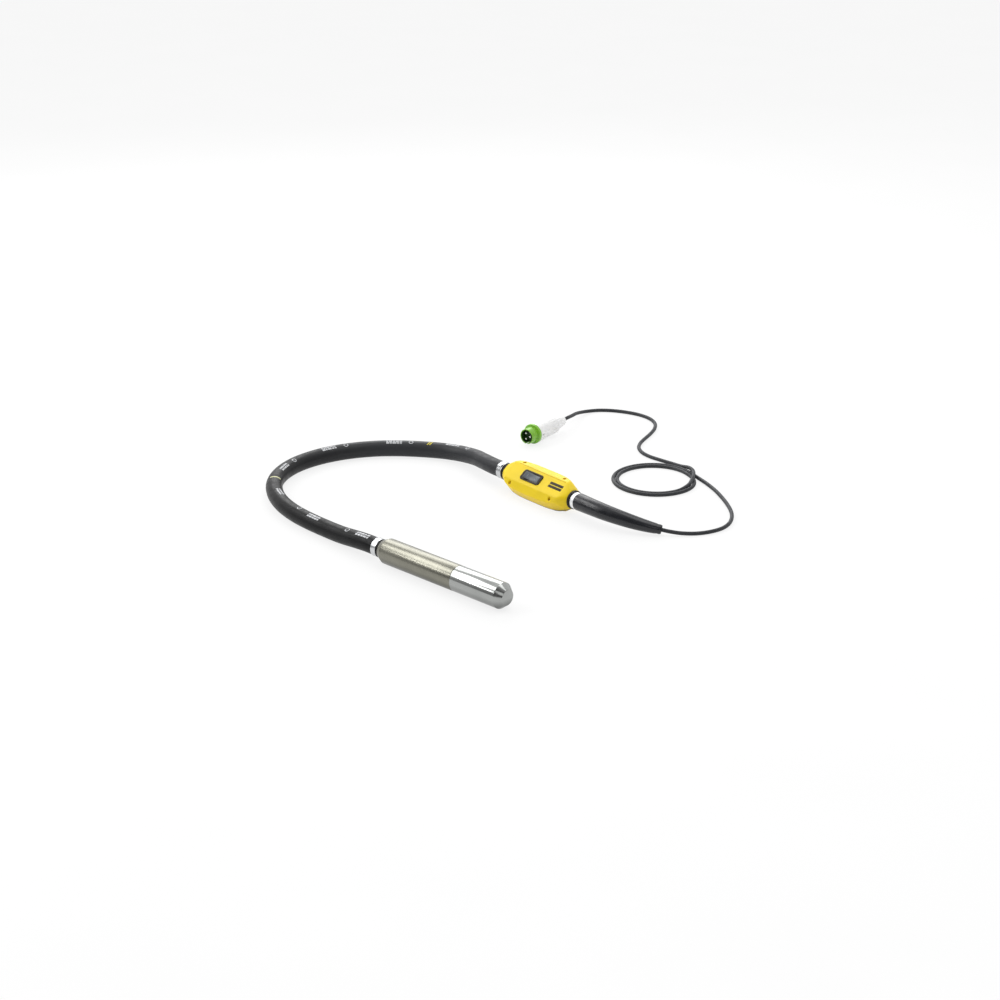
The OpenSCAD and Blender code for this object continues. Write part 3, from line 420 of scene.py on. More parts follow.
def bump(nodes, links, shader, source, strength, distance):
    b = nodes.new("ShaderNodeBump")
    b.inputs["Strength"].default_value = strength
    b.inputs["Distance"].default_value = distance
    links.new(source, b.inputs["Height"])
    links.new(b.outputs["Normal"], shader.inputs["Normal"])


def fade(nodes, links, coords, body, end_colour, axis, start, end):
    """A colour that turns into another along one axis of the object."""
    parts = nodes.new("ShaderNodeSeparateXYZ")
    links.new(coords, parts.inputs[0])
    mix = nodes.new("ShaderNodeMixRGB")
    mix.inputs["Color2"].default_value = (*end_colour, 1)
    links.new(spread(nodes, links, parts.outputs[axis], 0, 1, start, end), mix.inputs["Fac"])
    links.new(body, mix.inputs["Color1"])
    return mix.outputs["Color"]


def shade(colour, factor):
    return tuple(min(c * factor, 1) for c in colour)


def plastic(name, colour, rough, grain=2600, depth=0.25, vary=0.06, shine=0.4):
    """Moulded plastic: a fine spark-eroded grain, slight blush in the colour and gloss."""
    mat, nodes, links, shader = node_tree(name)
    coords = nodes.new("ShaderNodeTexCoord").outputs["Object"]
    broad = noise(nodes, links, coords, 18, 2)
    links.new(tint(nodes, links, broad, shade(colour, 1 - vary), shade(colour, 1 + vary)),
              shader.inputs["Base Color"])
    links.new(spread(nodes, links, noise(nodes, links, coords, 90, 4), rough - 0.06, rough + 0.06),
              shader.inputs["Roughness"])
    bump(nodes, links, shader, noise(nodes, links, coords, grain, 2), depth, 0.00005)
    shader.inputs["Specular IOR Level"].default_value = shine
    return mat


def rubber(name, colour, rough, grain=1400, depth=0.35, sheen=0.0, vary=0.12, shine=0.25, far_painted_light=0.0):
    """Moulded or extruded rubber: soft bloom over a dark body; the last value, when above 0, paints
    light into its far part: its colour grows paler towards +y.
    """
    mat, nodes, links, shader = node_tree(name)
    coords = nodes.new("ShaderNodeTexCoord").outputs["Object"]
    broad = noise(nodes, links, coords, 26, 5)
    body = tint(nodes, links, broad, shade(colour, 1 - vary), shade(colour, 1 + vary))
    # painted light: the far part's colour is raised towards +y
    if far_painted_light:
        body = fade(nodes, links, coords, body, shade(colour, far_painted_light), "Y", -0.12, 0.20)
    links.new(body, shader.inputs["Base Color"])
    links.new(spread(nodes, links, noise(nodes, links, coords, 60, 5), rough - 0.1, rough + 0.08),
              shader.inputs["Roughness"])
    bump(nodes, links, shader, noise(nodes, links, coords, grain, 3), depth, 0.0001)
    shader.inputs["Specular IOR Level"].default_value = shine
    if sheen:
        shader.inputs["Sheen Weight"].default_value = sheen
        shader.inputs["Sheen Roughness"].default_value = 0.4
    return mat


def metal(name, colour, rough, turned=0.0, vary=0.06, grain=900, depth=0.12, under=None):
    """Metal with a faint patina; turned > 0 adds fine tool marks across local x, and under paints
    shade into the colour of the side that lies on the ground, darker towards the bottom."""
    mat, nodes, links, shader = node_tree(name)
    coords = nodes.new("ShaderNodeTexCoord").outputs["Object"]
    broad = noise(nodes, links, coords, 22, 5)
    body = tint(nodes, links, broad, shade(colour, 1 - vary), shade(colour, 1 + vary))
    if under:
        # painted shade: the colour darkens towards the bottom of the piece, by the factor under
        body = fade(nodes, links, coords, body, shade(colour, under), "Z", 0.026, 0.009)
    links.new(body, shader.inputs["Base Color"])
    shader.inputs["Metallic"].default_value = 1.0
    if turned:
        lines = noise(nodes, links, coords, 60, 4, (40, 0.6, 0.6))
        links.new(spread(nodes, links, lines, rough - 0.07, rough + 0.09),
                  shader.inputs["Roughness"])
        bump(nodes, links, shader, lines, turned, 0.00004)
    else:
        links.new(spread(nodes, links, noise(nodes, links, coords, 140, 4), rough - 0.07,
                         rough + 0.08), shader.inputs["Roughness"])
        bump(nodes, links, shader, noise(nodes, links, coords, grain, 3), depth, 0.00004)
    return mat


YELLOW = plastic("housing_yellow", (0.94, 0.69, 0.012), 0.42, 2200, 0.3, 0.035, 0.3)
BLACK = plastic("black_moulding", (0.018, 0.018, 0.019), 0.42)
FRAME_BLACK = plastic("switch_surround", (0.022, 0.015, 0.007), 0.40, shine=0.25)
ROCKER_GREY = plastic("rocker_grey", (0.120, 0.135, 0.150), 0.3, 1800, 0.15, 0.05)
WHITE = plastic("plug_white", (0.96, 0.96, 0.96), 0.34, 1800, 0.15, 0.01, 0.5)
GREEN = plastic("plug_green", (0.22, 0.53, 0.032), 0.26, 1800, 0.12, 0.05, 0.6)
DARK_GREEN = plastic("plug_insert_green", (0.018, 0.065, 0.012), 0.45)
IVORY = plastic("ivory_moulding", (0.70, 0.66, 0.52), 0.45)
RED_WIRE = plastic("wire_insulation", (0.42, 0.03, 0.025), 0.4)
# the hose's last value paints light into its far leg: its colour turns six times paler towards +y
HOSE_RUBBER = rubber("hose_rubber", (0.0070, 0.0072, 0.0078), 0.40, 700, 0.5, 0.0, 0.3, 0.17, 6.0)
CORD_RUBBER = rubber("cord_rubber", (0.040, 0.042, 0.047), 0.5, 1600, 0.3, 0.02)
BOOT_RUBBER = rubber("boot_rubber", (0.015, 0.016, 0.020), 0.27, 1600, 0.12, 0.0, 0.15, 0.45)
SEAL_RUBBER = rubber("seal_rubber", (0.014, 0.013, 0.011), 0.6)
# under paints shade into the head's and the nose's steel: their colour darkens towards the bottom
HEAD_STEEL = metal("head_steel", (0.235, 0.230, 0.192), 0.28, 0.06, under=0.32)
NOSE_STEEL = metal("nose_steel", (0.36, 0.37, 0.36), 0.15, 0.04, under=0.45)
ZINC = metal("zinc_plate", (0.60, 0.61, 0.62), 0.26)
YELLOW_ZINC = metal("yellow_zinc", (0.66, 0.50, 0.10), 0.4)
FERRULE_STEEL = metal("ferrule_steel", (0.92, 0.93, 0.94), 0.5)
NICKEL = metal("nickel_plate", (0.80, 0.80, 0.79), 0.18)
DARK_STEEL = metal("dark_steel", (0.16, 0.16, 0.16), 0.38)
BEARING_STEEL = metal("bearing_steel", (0.70, 0.72, 0.74), 0.14)
SPRING_STEEL = metal("spring_steel", (0.16, 0.17, 0.19), 0.34)
COPPER = metal("winding_copper", (0.62, 0.26, 0.09), 0.3, vary=0.18, grain=400, depth=0.5)
BRASS = metal("bare_brass", (0.70, 0.50, 0.20), 0.28)
IRON = metal("cast_weight", (0.24, 0.21, 0.18), 0.5, grain=300, depth=0.6)
PRINT_WHITE = plastic("hose_print", (0.62, 0.63, 0.65), 0.55, 900, 0.3, 0.15)
PRINT_CREAM = plastic("hose_ring_print", (0.60, 0.60, 0.34), 0.55, 900, 0.3, 0.12)
PRINT_YELLOW = plastic("hose_mark_yellow", (0.78, 0.64, 0.03), 0.5, 900, 0.3, 0.12)
MARK_GREY = plastic("rocker_print", (0.22, 0.25, 0.27), 0.4, 1800, 0.1)
# painted shade: a darker copy of the housing's yellow, for the line along the panel's near edge
PANEL_EDGE_SHADE = plastic("panel_edge_shade", (0.62, 0.40, 0.006), 0.5, 1800, 0.2, 0.05, 0.25)
PRINT_DARK = plastic("panel_print_and_shade", (0.040, 0.030, 0.008), 0.45, 1800, 0.15, shine=0.25)


def dress(piece, material):
    piece.data.materials.clear()
    piece.data.materials.append(material)
    return piece


def put(piece, material, body, replaces=()):
    dress(piece, material)
    if body:
        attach(piece, body)
    if replaces:
        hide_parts(*replaces)
    return piece


# -------------------------------- camera
camera = add_object("camera", bpy.data.cameras.new("camera"))
camera.location = (2.9176, -3.1017, 1.817)
camera.rotation_euler = (math.radians(68), 0, math.radians(43.26))
camera.data.lens = 75.8
camera.data.sensor_width = 36
camera.data.clip_end = 200
bpy.context.scene.camera = camera
bpy.context.scene.view_settings.view_transform = "Standard"

# -------------------------------- hose and cords
HOSE_R, HOSE_BORE = 0.0195, 0.0125
hose_path = smooth_path(HOSE_ROUTE, 10)
hose = tube("hose", hose_path, HOSE_R, 48, HOSE_BORE, lip=0.0012)
put(hose, HOSE_RUBBER, None, ["protective_hose"])
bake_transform(hose)

inner_path = smooth_path(INNER_ROUTE, 6)
inner = tube("hose_core_cable", inner_path, INNER_R, 16)
put(inner, SEAL_RUBBER, None, ["inner_cable"])
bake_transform(inner)

cord_path = smooth_path(CORD_ROUTE, 8)
cord = tube("supply_cord", cord_path, CORD_R, 20)
put(cord, CORD_RUBBER, "housing", ["power_cord"])

tail = tube("cord_in_boot", smooth_path(TAIL_ROUTE, 6), CORD_R, 16)
put(tail, CORD_RUBBER, "housing", ["cord_tail"])


# -------------------------------- marks printed on the hose
PRINT_UNDER, PRINT_LIFT = 0.0002, 0.00014


def hose_patch(name, strips, station, angle):
    """A thin printed patch: strips of (along, around) millimetres laid on the hose's skin."""
    t, s, u = frames_along(hose_path)
    along = lengths_along(hose_path)

    def lay(x, y, r):
        at = station + x * MM
        p, side, up = [np.array([np.interp(at, along, q[:, i]) for i in range(3)])
                       for q in (hose_path, s, u)]
        a = math.radians(angle) + y * MM / HOSE_R
        return Vector(p + r * (math.cos(a) * side + math.sin(a) * up))

    verts, faces = [], []
    for strip in strips:
        first = len(verts)
        for r in (HOSE_R - PRINT_UNDER, HOSE_R + PRINT_LIFT):
            verts += [lay(x, y, r) for row in strip for x, y in row]
        rows, columns = len(strip), len(strip[0])
        size = rows * columns
        for i in range(rows - 1):
            for k in range(columns - 1):
                q = (first + i * columns + k, first + i * columns + k + 1,
                     first + (i + 1) * columns + k + 1, first + (i + 1) * columns + k)
                faces += [q[::-1], tuple(v + size for v in q)]
        edge = ([(0, k) for k in range(columns - 1)] + [(i, columns - 1) for i in range(rows - 1)]
                + [(rows - 1, k) for k in range(columns - 1, 0, -1)]
                + [(i, 0) for i in range(rows - 1, 0, -1)])
        ids = [first + i * columns + k for i, k in edge]
        for m, v in enumerate(ids):
            w = ids[(m + 1) % len(ids)]
            faces.append((v, w, w + size, v + size))
    return new_piece(name, verts, faces, 30)


def bar(x0, x1, y0, y1):
    """A rectangle as a strip of cells, narrow enough to follow the hose."""
    return [[(x0 + (x1 - x0) * i / 3, y) for y in np.linspace(y0, y1, 5)] for i in range(4)]


def slash(x0, x1, y0, y1, lean):
    """A bar across the hose that leans along it."""
    return [[(x + lean * (y - y0) / (y1 - y0), y) for y in np.linspace(y0, y1, 7)]
            for x in (x0, x1)]


def hoop(r, w, cells=28):
    """A small ring of this radius and line width."""
    return [[((r + q) * math.cos(2 * math.pi * i / cells), (r + q) * math.sin(2 * math.pi * i / cells))
             for q in (-w / 2, w / 2)] for i in range(cells + 1)]


def dash_block():
    """Two rows of plain dashes of mixed length."""
    length, height, gap = 44, 4.5, 2.2
    strips = []
    for row, dashes in ((-1, (9, 6, 11, 7, 6)), (1, (6, 10, 7, 9, 7))):
        mid = row * (height + gap) / 2
        x = -length / 2
        for dash in dashes:
            strips.append(bar(x, x + dash - 1.3, mid - height / 2, mid + height / 2))
            x += dash + 0.2
    return strips


# each mark's way along the hose in metres and its angle round it in degrees
DASHES_AT = ((0.060, 106), (0.229, 104), (0.405, 78), (0.570, 70), (0.733, 75), (0.899, 73),
             (1.050, 92))
HOOPS_AT = ((0.107, 104), (0.287, 88), (0.616, 69), (0.776, 75), (0.938, 75), (1.098, 82))
CREAM_AT, TICK_AT = (0.497, 80), (0.985, 72)
marks = [hose_patch("mark", dash_block(), *at) for at in DASHES_AT]
marks += [hose_patch("mark", [hoop(5.0, 1.5)], *at) for at in HOOPS_AT]
marks = merge("hose_marks_pale", marks)
cream = hose_patch("hose_mark_ring", [[[(x, y) for y in np.linspace(-13, 13, 15)]
                                       for x in (-3, 0, 3)]], *CREAM_AT)
yellow_tick = merge("hose_mark_yellow", [hose_patch("tick", [slash(x, x + 2.6, -5, 6, 5)], *TICK_AT)
                                         for x in (-6.0, 0.2)])
for piece, material in ((marks, PRINT_WHITE), (cream, PRINT_CREAM), (yellow_tick, PRINT_YELLOW)):
    put(piece, material, None)
    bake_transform(piece)


# -------------------------------- vibrator head
rear_end = lathe("head_rear_end", [
    (5.4, -44), (11.0, -44), (11.7, -42.5), (11.7, -36), (11.5, -35.8), (11.7, -31), (11.5, -30.8),
    (11.7, -25), (11.5, -24.8), (11.7, -19), (11.7, 0), (20.5, 0), (28.5, 17), (23.4, 17.05),
    (23.4, 47), (13, 47), (13, 22), (5.4, 22)],
    HEAD, [0] * 11 + [1.4, 1.6] + [0] * 5, 128)
put(rear_end, HEAD_STEEL, "head", ["rear_end_piece"])

tube_body = lathe("head_tube_body", [
    (23.53, 17.1), (28.5, 17.1), (28.5, 224.2), (27.7, 225), (26.2, 225.1), (26.2, 245), (23.53, 245)],
    HEAD, [0, 0.5, 0.4, 0.2, 0, 0.8, 0], 128)
put(tube_body, HEAD_STEEL, "head", ["head_tube"])

nose = lathe("head_nose_cap", [
    (26.22, 225.15), (27.7, 225.15), (28.5, 225.9), (28.5, 350), (17, 365), (0.02, 365), (0.02, 335),
    (20.03, 335), (20.03, 326.1), (23.53, 326.1), (23.53, 245.1), (26.22, 245.1)],
    HEAD, [0, 0.2, 0.4, 1.6, 1.3, 0, 0, 0, 0, 0, 0, 0], 128)
put(nose, NOSE_STEEL, "head", ["head_nose"])


# -------------------------------- hose clamps
def clamp(name, place, start, width, ear_angle):
    """A rolled steel band with raised rims, a lapped end and a pinched ear."""
    low, high, groove = 19.8, 20.9, 0.35
    end = start + width
    band = lathe(name + "_band", [
        (low, start), (high, start), (high, start + 1.4), (high - groove, start + 1.9),
        (high - groove, end - 1.9), (high, end - 1.4), (high, end), (low, end)],
        place, [0, 0.3, 0.2, 0.2, 0.2, 0.2, 0.3, 0], 96)
    turn = place @ Matrix.Rotation(math.radians(ear_angle), 4, "Z")
    # the lapped end lies on the band for an eighth of a turn
    lap_from, lap_angle, lap_steps = -12, 44, 14
    section = rounded([(high - 0.45, start + 2.2), (high + 0.55, start + 2.2),
                       (high + 0.55, end - 2.2), (high - 0.45, end - 2.2)], 0.3, 3)
    rings = []
    for k in range(lap_steps + 1):
        b = math.radians(lap_from - lap_angle * k / lap_steps)
        rings.append([turn @ Vector((r * math.cos(b) * MM, r * math.sin(b) * MM, z * MM))
                      for r, z in section])
    lap = loft(name + "_lap", rings)
    # the ear: two legs pinched in under a flat crown
    outer = [(20.3, -5.6), (20.9, -4.4), (21.8, -2.7), (23.0, -3.4), (23.9, -3.0), (24.1, 0),
             (23.9, 3.0), (23.0, 3.4), (21.8, 2.7), (20.9, 4.4), (20.3, 5.6)]
    outer = rounded(outer, [0] + [0.5] * 9 + [0], 3)
    ear = loft(name + "_ear", [[turn @ Vector((x * MM, y * MM, z * MM)) for x, y in outer]
                               for z in (start + 2.4, end - 2.4)])
    return merge(name, [band, lap, ear])


front_band = clamp("front_hose_clamp", HEAD, -19, 14, 90)
put(front_band, ZINC, "head", ["front_clamp"])
rear_band = clamp("rear_hose_clamp", HOUSE_AXIS, -135, 16, 180)
put(rear_band, ZINC, "housing", ["rear_clamp"])

# -------------------------------- collars between hose, housing, boot
NIPPLE_R = 12.02
hose_collar = lathe("hose_collar", [
    (NIPPLE_R, -118.9), (20.5, -118.9), (20.5, -116), (19.9, -115.3), (20.5, -114.6),
    (20.5, -110.05), (NIPPLE_R, -110.05)], HOUSE_AXIS, [0, 0.9, 0.3, 0.3, 0.3, 0.4, 0], 96)
put(hose_collar, SEAL_RUBBER, "housing", ["hose_ring"])
boot_collar = lathe("boot_collar", [
    (NIPPLE_R, 110.05), (21.5, 110.05), (21.5, 117), (NIPPLE_R, 117)], HOUSE_AXIS,
    [0, 0.5, 0.9, 0], 96)
put(boot_collar, SEAL_RUBBER, "housing", ["boot_ring"])
ferrule = lathe("boot_ferrule_ring", [
    (NIPPLE_R, 117.1), (19.2, 117.1), (19.2, 119.6), (18.9, 119.9), (18.9, 120.5), (19.2, 120.8),
    (19.2, 127.9), (NIPPLE_R, 127.9)], HOUSE_AXIS, [0, 0.6, 0.15, 0.1, 0.1, 0.15, 0.8, 0], 96)
put(ferrule, FERRULE_STEEL, "housing", ["boot_ferrule"])

# the boot tapers faster towards its tip, stays a hair inside the solid, and has a groove near the tip
BOOT_R, BOOT_TAPER, BOOT_INSIDE = 0.0202, 0.0097, 0.00012
GROOVE_DEPTH, GROOVE_AT, GROOVE_WIDTH = 0.0007, 0.945, 0.012
NIPPLE_BORE, TAIL_BORE = 0.0124, 0.0052
boot_path = smooth_path(BOOT_ROUTE, 10)
share = np.linspace(0, 1, len(boot_path))
boot_radius = BOOT_R - BOOT_TAPER * (0.35 * share + 0.65 * share ** 3)
boot_radius -= BOOT_INSIDE
boot_radius -= GROOVE_DEPTH * np.exp(-((share - GROOVE_AT) / GROOVE_WIDTH) ** 2)
last_knot = len(BOOT_ROUTE) - 1
boot_bore = np.interp(share * last_knot, [0, 2, 3, last_knot],
                      [NIPPLE_BORE, NIPPLE_BORE, TAIL_BORE, TAIL_BORE])
boot = tube("bend_protector_boot", boot_path, boot_radius, 64, boot_bore, lip=0.0022)
put(boot, BOOT_RUBBER, "housing", ["bend_protector"])


# -------------------------------- switch housing
def soft_min(a, b, k):
    """The smaller of two values, blended over where they meet; k is the blend's size."""
    h = np.maximum(k - np.abs(a - b), 0) / k
    return np.minimum(a, b) - h * h * k / 4


# half sizes of the housing: length, width and height, the top panel's width and the sides' height;
# the plan and the top curve in, to the half width and half height of the ends
HALF_LEN, HALF_W, HALF_H, PANEL, SIDE = 110.0, 40.0, 26.0, 23.5, 13.109
PLAN_CURVE_FROM, TOP_CURVE_FROM, END_HALF_W, END_HALF_H = 2, 86, 20.5, 21
END_ROUND_R, END_ROUND_SLOPE = 22, (24, 38)
END_ROUNDING = 0.7
SKIN_SIDES = 192
WALL, END_WALL = 3.5, 4.5
UPPER_FROM, LOWER_TO, LIP_TOP, LIP_BOTTOM = -12.4, -13.6, -13.65, -15.2
PANEL_PAINT_UNDER, PANEL_PAINT_TOP = 25.6, 26.02
SCREW_X, SCREW_Y, SCREW_R, SCREW_BORE = 68, 30, 2.0, 2.02
AXIS_R = 0.02  # where a turned solid starts, just off its axis


def housing_radius(x, angle, inset=0.0):
    """How far the housing's skin is from its axis, x along it, at these angles round it."""
    c, s = np.abs(np.cos(angle)) + 1e-9, np.abs(np.sin(angle)) + 1e-9
    ax = abs(x)
    t = np.clip((ax - PLAN_CURVE_FROM) / (HALF_LEN - PLAN_CURVE_FROM), 0, 1)
    wide = (END_HALF_W + (HALF_W - END_HALF_W) * (1 - t ** 3.8)) - inset
    t = np.clip((ax - TOP_CURVE_FROM) / (HALF_LEN - TOP_CURVE_FROM), 0, 1)
    tall = (END_HALF_H + (HALF_H - END_HALF_H) * (1 - t ** 2)) - inset
    dy, dz = HALF_W - PANEL, HALF_H - SIDE
    norm = math.hypot(dy, dz)
    slant = (HALF_W * dz + SIDE * dy) / norm - inset
    spindle = END_ROUND_R + (HALF_LEN - ax) * END_ROUND_SLOPE[0] / END_ROUND_SLOPE[1] - inset
    r = soft_min(wide / c, tall / s, 0.5)
    r = soft_min(r, slant / (c * dz / norm + s * dy / norm), 1.5)
    return soft_min(r, spindle, 2.5)


def housing_skin(name, hollow=True, under=0.0):
    """The housing's whole skin, or a solid that lies this far under it."""
    angles = 2 * np.pi * np.arange(SKIN_SIDES) / SKIN_SIDES
    stations = np.concatenate([np.linspace(-HALF_LEN, -70, 30), np.linspace(-62, 62, 9),
                               np.linspace(70, HALF_LEN, 30)])

    def ring(x, r):
        return [HOUSE @ Vector((x * MM, q * math.cos(a) * MM, q * math.sin(a) * MM))
                for a, q in zip(angles, np.full(SKIN_SIDES, r) if np.isscalar(r) else r)]

    rings = []
    for x in stations:
        r = housing_radius(x, angles, under)
        if abs(x) == HALF_LEN:
            rings.append(ring(x, r - END_ROUNDING))
            x = x * (1 - END_ROUNDING / HALF_LEN)
        rings.append(ring(x, r))
    # the last station comes after its own rounding ring
    rings[-1], rings[-2] = rings[-2], rings[-1]
    if not hollow:
        return loft(name, rings)
    inner = HALF_LEN - END_WALL
    rings += [ring(HALF_LEN, NIPPLE_R), ring(inner, NIPPLE_R)]
    rings += [ring(x, housing_radius(x, angles, WALL)) for x in -np.linspace(-inner, inner, 26)]
    rings += [ring(-inner, NIPPLE_R), ring(-HALF_LEN, NIPPLE_R)]
    return loft(name, rings, close_loop=True)


def at_screws():
    return [HOUSE @ Matrix.Translation((x * MM, y * MM, 0))
            for x in (-SCREW_X, SCREW_X) for y in (-SCREW_Y, SCREW_Y)]


def housing_part(name):
    """The hollow shell with its screw bosses."""
    shell = housing_skin(name)
    posts = merge("posts", [lathe("post", [(AXIS_R, -25), (6, -25), (6, 25), (AXIS_R, 25)], at, 0, 40)
                            for at in at_screws()])
    combine(posts, housing_skin("limit", False, 0.6), "INTERSECT")
    combine(shell, posts, "UNION")
    return shell


def copy_piece(piece, name):
    other = piece.copy()
    other.data = piece.data.copy()
    other.name = name
    bpy.context.scene.collection.objects.link(other)
    return other


DRAWN_FROM = -24


def draw_in(piece):
    """Sets the lower shell's outer skin back under the seam, least at its middle."""
    back = HOUSE.inverted()
    for v in piece.data.vertices:
        p = back @ v.co / MM
        r, a = math.hypot(p.y, p.z), math.atan2(p.z, p.y)
        outside = r > housing_radius(p.x, np.array([a]))[0] - 1.5
        if outside and p.z > DRAWN_FROM and abs(p.x) < HALF_LEN - 0.1:
            pull = (2.2 + 0.8 * min(max((abs(p.x) - 20) / 30, 0), 1)) * min((p.z - DRAWN_FROM) / 6, 1)
            v.co = HOUSE @ (Vector((p.x, p.y * (1 - pull / r), p.z * (1 - pull / r))) * MM)


def housing_slice(low, high):
    """A block over the housing's whole plan, between two heights."""
    return box_piece("slice", HOUSE, (-130, -50, low), (130, 50, high))


lower = housing_part("housing_lower_shell")
upper = copy_piece(lower, "housing_upper_shell")

SWITCH_X = -14.0
SWITCH = HOUSE @ Matrix.Translation((SWITCH_X * MM, 0, 0))
HEAD_SEAT, HEAD_TOP = 13, 16.5  # of the screws' heads
cut(upper, housing_slice(-60, UPPER_FROM))
cut(upper, box_piece("opening", SWITCH, (-27.1, -12.1, 14), (27.1, 12.1, 40)))
cut(lower, housing_slice(LOWER_TO, 60))
for at in at_screws():
    cut(upper, lathe("recess", [(AXIS_R, -14), (SCREW_BORE, -14), (SCREW_BORE, HEAD_SEAT),
                                (4.3, HEAD_SEAT), (4.3, 40), (AXIS_R, 40)], at, 0, 48))
    cut(lower, lathe("bore", [(AXIS_R, -18), (SCREW_BORE, -18), (SCREW_BORE, 9), (AXIS_R, 9)],
                     at, 0, 32))
draw_in(lower)
for shell, node in ((upper, "housing_top"), (lower, "housing_bottom")):
    finish_mesh(shell, 28)
    put(shell, YELLOW, "housing", [node])

# screw heads with a hexagon socket
heads = []
for at in at_screws():
    screw = lathe("screw", [
        (AXIS_R, -17), (1.7, -17), (SCREW_R, -16), (SCREW_R, HEAD_SEAT), (4.1, HEAD_SEAT),
        (4.1, HEAD_TOP), (AXIS_R, HEAD_TOP)], at, [0, 0, 0, 0, 0, 0.7, 0], 48)
    cut(screw, lathe("socket", [(AXIS_R, 15), (2.0, 15), (2.0, 18), (AXIS_R, 18)], at, 0, 6))
    finish_mesh(screw, 30)
    heads.append(screw)
screws = merge("housing_screw_set", heads)
put(screws, YELLOW_ZINC, "housing", ["housing_screws"])

# the seal's outer lip, wrapped round the lower shell's edge; its dark band is partly the seal and
# partly painted shade of the drawn-in lower shell
lip = housing_skin("gasket_lip_and_shade")
cut(lip, housing_slice(LIP_TOP, 60))
cut(lip, housing_slice(-60, LIP_BOTTOM))
finish_mesh(lip, 40)
put(lip, SEAL_RUBBER, "housing")

# plain dark bars in the place of the panel's marking
# thin plates on the panel: the printed bars, and the painted shade line along its edge
def panel_print_and_shade(name, outline):
    return slab(name, HOUSE, outline, PANEL_PAINT_UNDER, PANEL_PAINT_TOP, 0.1)


panel_bars = merge("panel_bars", [panel_print_and_shade("bar", round_outline(43, 7, 0.8, 3, (66, y)))
                                  for y in (2.0 - 4.3, 2.0 + 4.3)])
put(panel_bars, PRINT_DARK, "housing")
# the thin line along the panel's near edge: painted shade, a darker copy of the housing's yellow
edge_shade_line = panel_print_and_shade("panel_edge_line", [(-74, 21.6), (84, 19.6), (84, 21.1), (-74, 22.9)])
put(edge_shade_line, PANEL_EDGE_SHADE, "housing")

# -------------------------------- switch
frame_outer = round_outline(64, 28, 7, 10)
frame_inner = round_outline(48.4, 18, 1.6, 10)


def frame_ring(outline, z):
    return [SWITCH @ (Vector((x, y, z)) * MM) for x, y in outline]


surround = loft("switch_surround", [
    frame_ring(frame_outer, 26.02), frame_ring(frame_outer, 27.0),
    frame_ring(inset(frame_outer, 0.25), 27.5), frame_ring(inset(frame_outer, 0.8), 27.82),
    frame_ring(inset(frame_outer, 2.6), 27.82), frame_ring(inset(frame_inner, -1.9), 27.4),
    frame_ring(inset(frame_inner, -0.5), 27.3), frame_ring(frame_inner, 27.0),
    frame_ring(frame_inner, 26.02)], close_loop=True, sharp=50)
put(surround, FRAME_BLACK, "housing", ["switch_frame"])

ROCKER_TILT, ROCKER_HALF, ROCKER_MIDDLE, ROCKER_DISH = 7, 22.4, 10.4, 0.5
ROCKER = (SWITCH @ Matrix.Translation((0, 0, 17 * MM))
          @ Matrix.Rotation(math.radians(ROCKER_TILT), 4, "Y"))
ROCKER_RISE = ROCKER_HALF * math.tan(math.radians(ROCKER_TILT))


def on_face(u):
    """Height of the rocker's dished face, u from -1 to 1 along it."""
    dip = ROCKER_DISH * math.sin(math.pi * abs(u))
    return ROCKER_MIDDLE + ROCKER_RISE * abs(u) - dip


face = [(-23.2, 5), (-ROCKER_HALF, ROCKER_MIDDLE + ROCKER_RISE)]
face += [(ROCKER_HALF * u, on_face(u)) for u in (-1 + k / 6 for k in range(1, 12))]
face += [(ROCKER_HALF, ROCKER_MIDDLE + ROCKER_RISE), (23.2, 5), (6, 3), (-6, 3)]
rocker_ring = rounded(face, [0.5, 0.9] + [0] * 11 + [0.9, 0.5, 0, 0], 4)
rings = []
for y, d in ((-8.7, 0.7), (-8.5, 0.3), (-8.0, 0), (8.0, 0), (8.5, 0.3), (8.7, 0.7)):
    rings.append([ROCKER @ (Vector((x, y, z)) * MM) for x, z in inset(rocker_ring, d)])
rocker_top = loft("rocker_body", rings, sharp=50)
hub = lathe("rocker_hub", [(2.05, -8.5), (4.6, -8.5), (4.6, 8.5), (2.05, 8.5)],
            ROCKER @ Matrix.Rotation(math.pi / 2, 4, "X"), [0, 0.3, 0.3, 0], 40)
stem = box_piece("rocker_stem", ROCKER, (-3, -4, -5.6), (3, 4, -2.2), 0.4)
rocker = merge("rocker_key", [rocker_top, hub, stem])
put(rocker, ROCKER_GREY, "rocker", ["rocker_cap"])


mark_height = on_face(0.55)
on_mark = box_piece("mark_on", ROCKER, (-13.0, -3.2, mark_height - 0.6),
                    (-11.8, 3.2, mark_height + 0.12), 0.08)
off_mark = lathe("mark_off", [(2.2, -0.6), (3.3, -0.6), (3.3, 0.15), (2.2, 0.15)],
                 ROCKER @ Matrix.Translation((12.4 * MM, 0, mark_height * MM))
                 @ Matrix.Rotation(math.radians(-ROCKER_TILT), 4, "Y"), [0, 0, 0.1, 0.1], 40)
switch_marks = merge("rocker_marks", [on_mark, off_mark])
put(switch_marks, MARK_GREY, "rocker")


# -------------------------------- plug
def ribs(first, last, count, depth, run_out):
    """Grip ribs for a turned piece: hollows between them that run out at both ends."""
    def shape(r, z, a):
        if first < z < last and r > 12:
            edge = min((z - first) / run_out, (last - z) / run_out, 1)
            return r - depth * edge * (0.5 - 0.5 * math.cos(count * a)) ** 3
        return r
    return shape


def stations(profile, step):
    """Extra points along long runs of a turned profile, so that it can be shaped."""
    out = []
    for i, (r, z) in enumerate(profile):
        out.append((r, z))
        r2, z2 = profile[(i + 1) % len(profile)]
        n = int(abs(z2 - z) / step)
        if n > 1 and r > 15 and r2 > 15:
            out += [(r + (r2 - r) * k / n, z + (z2 - z) * k / n) for k in range(1, n)]
    return out


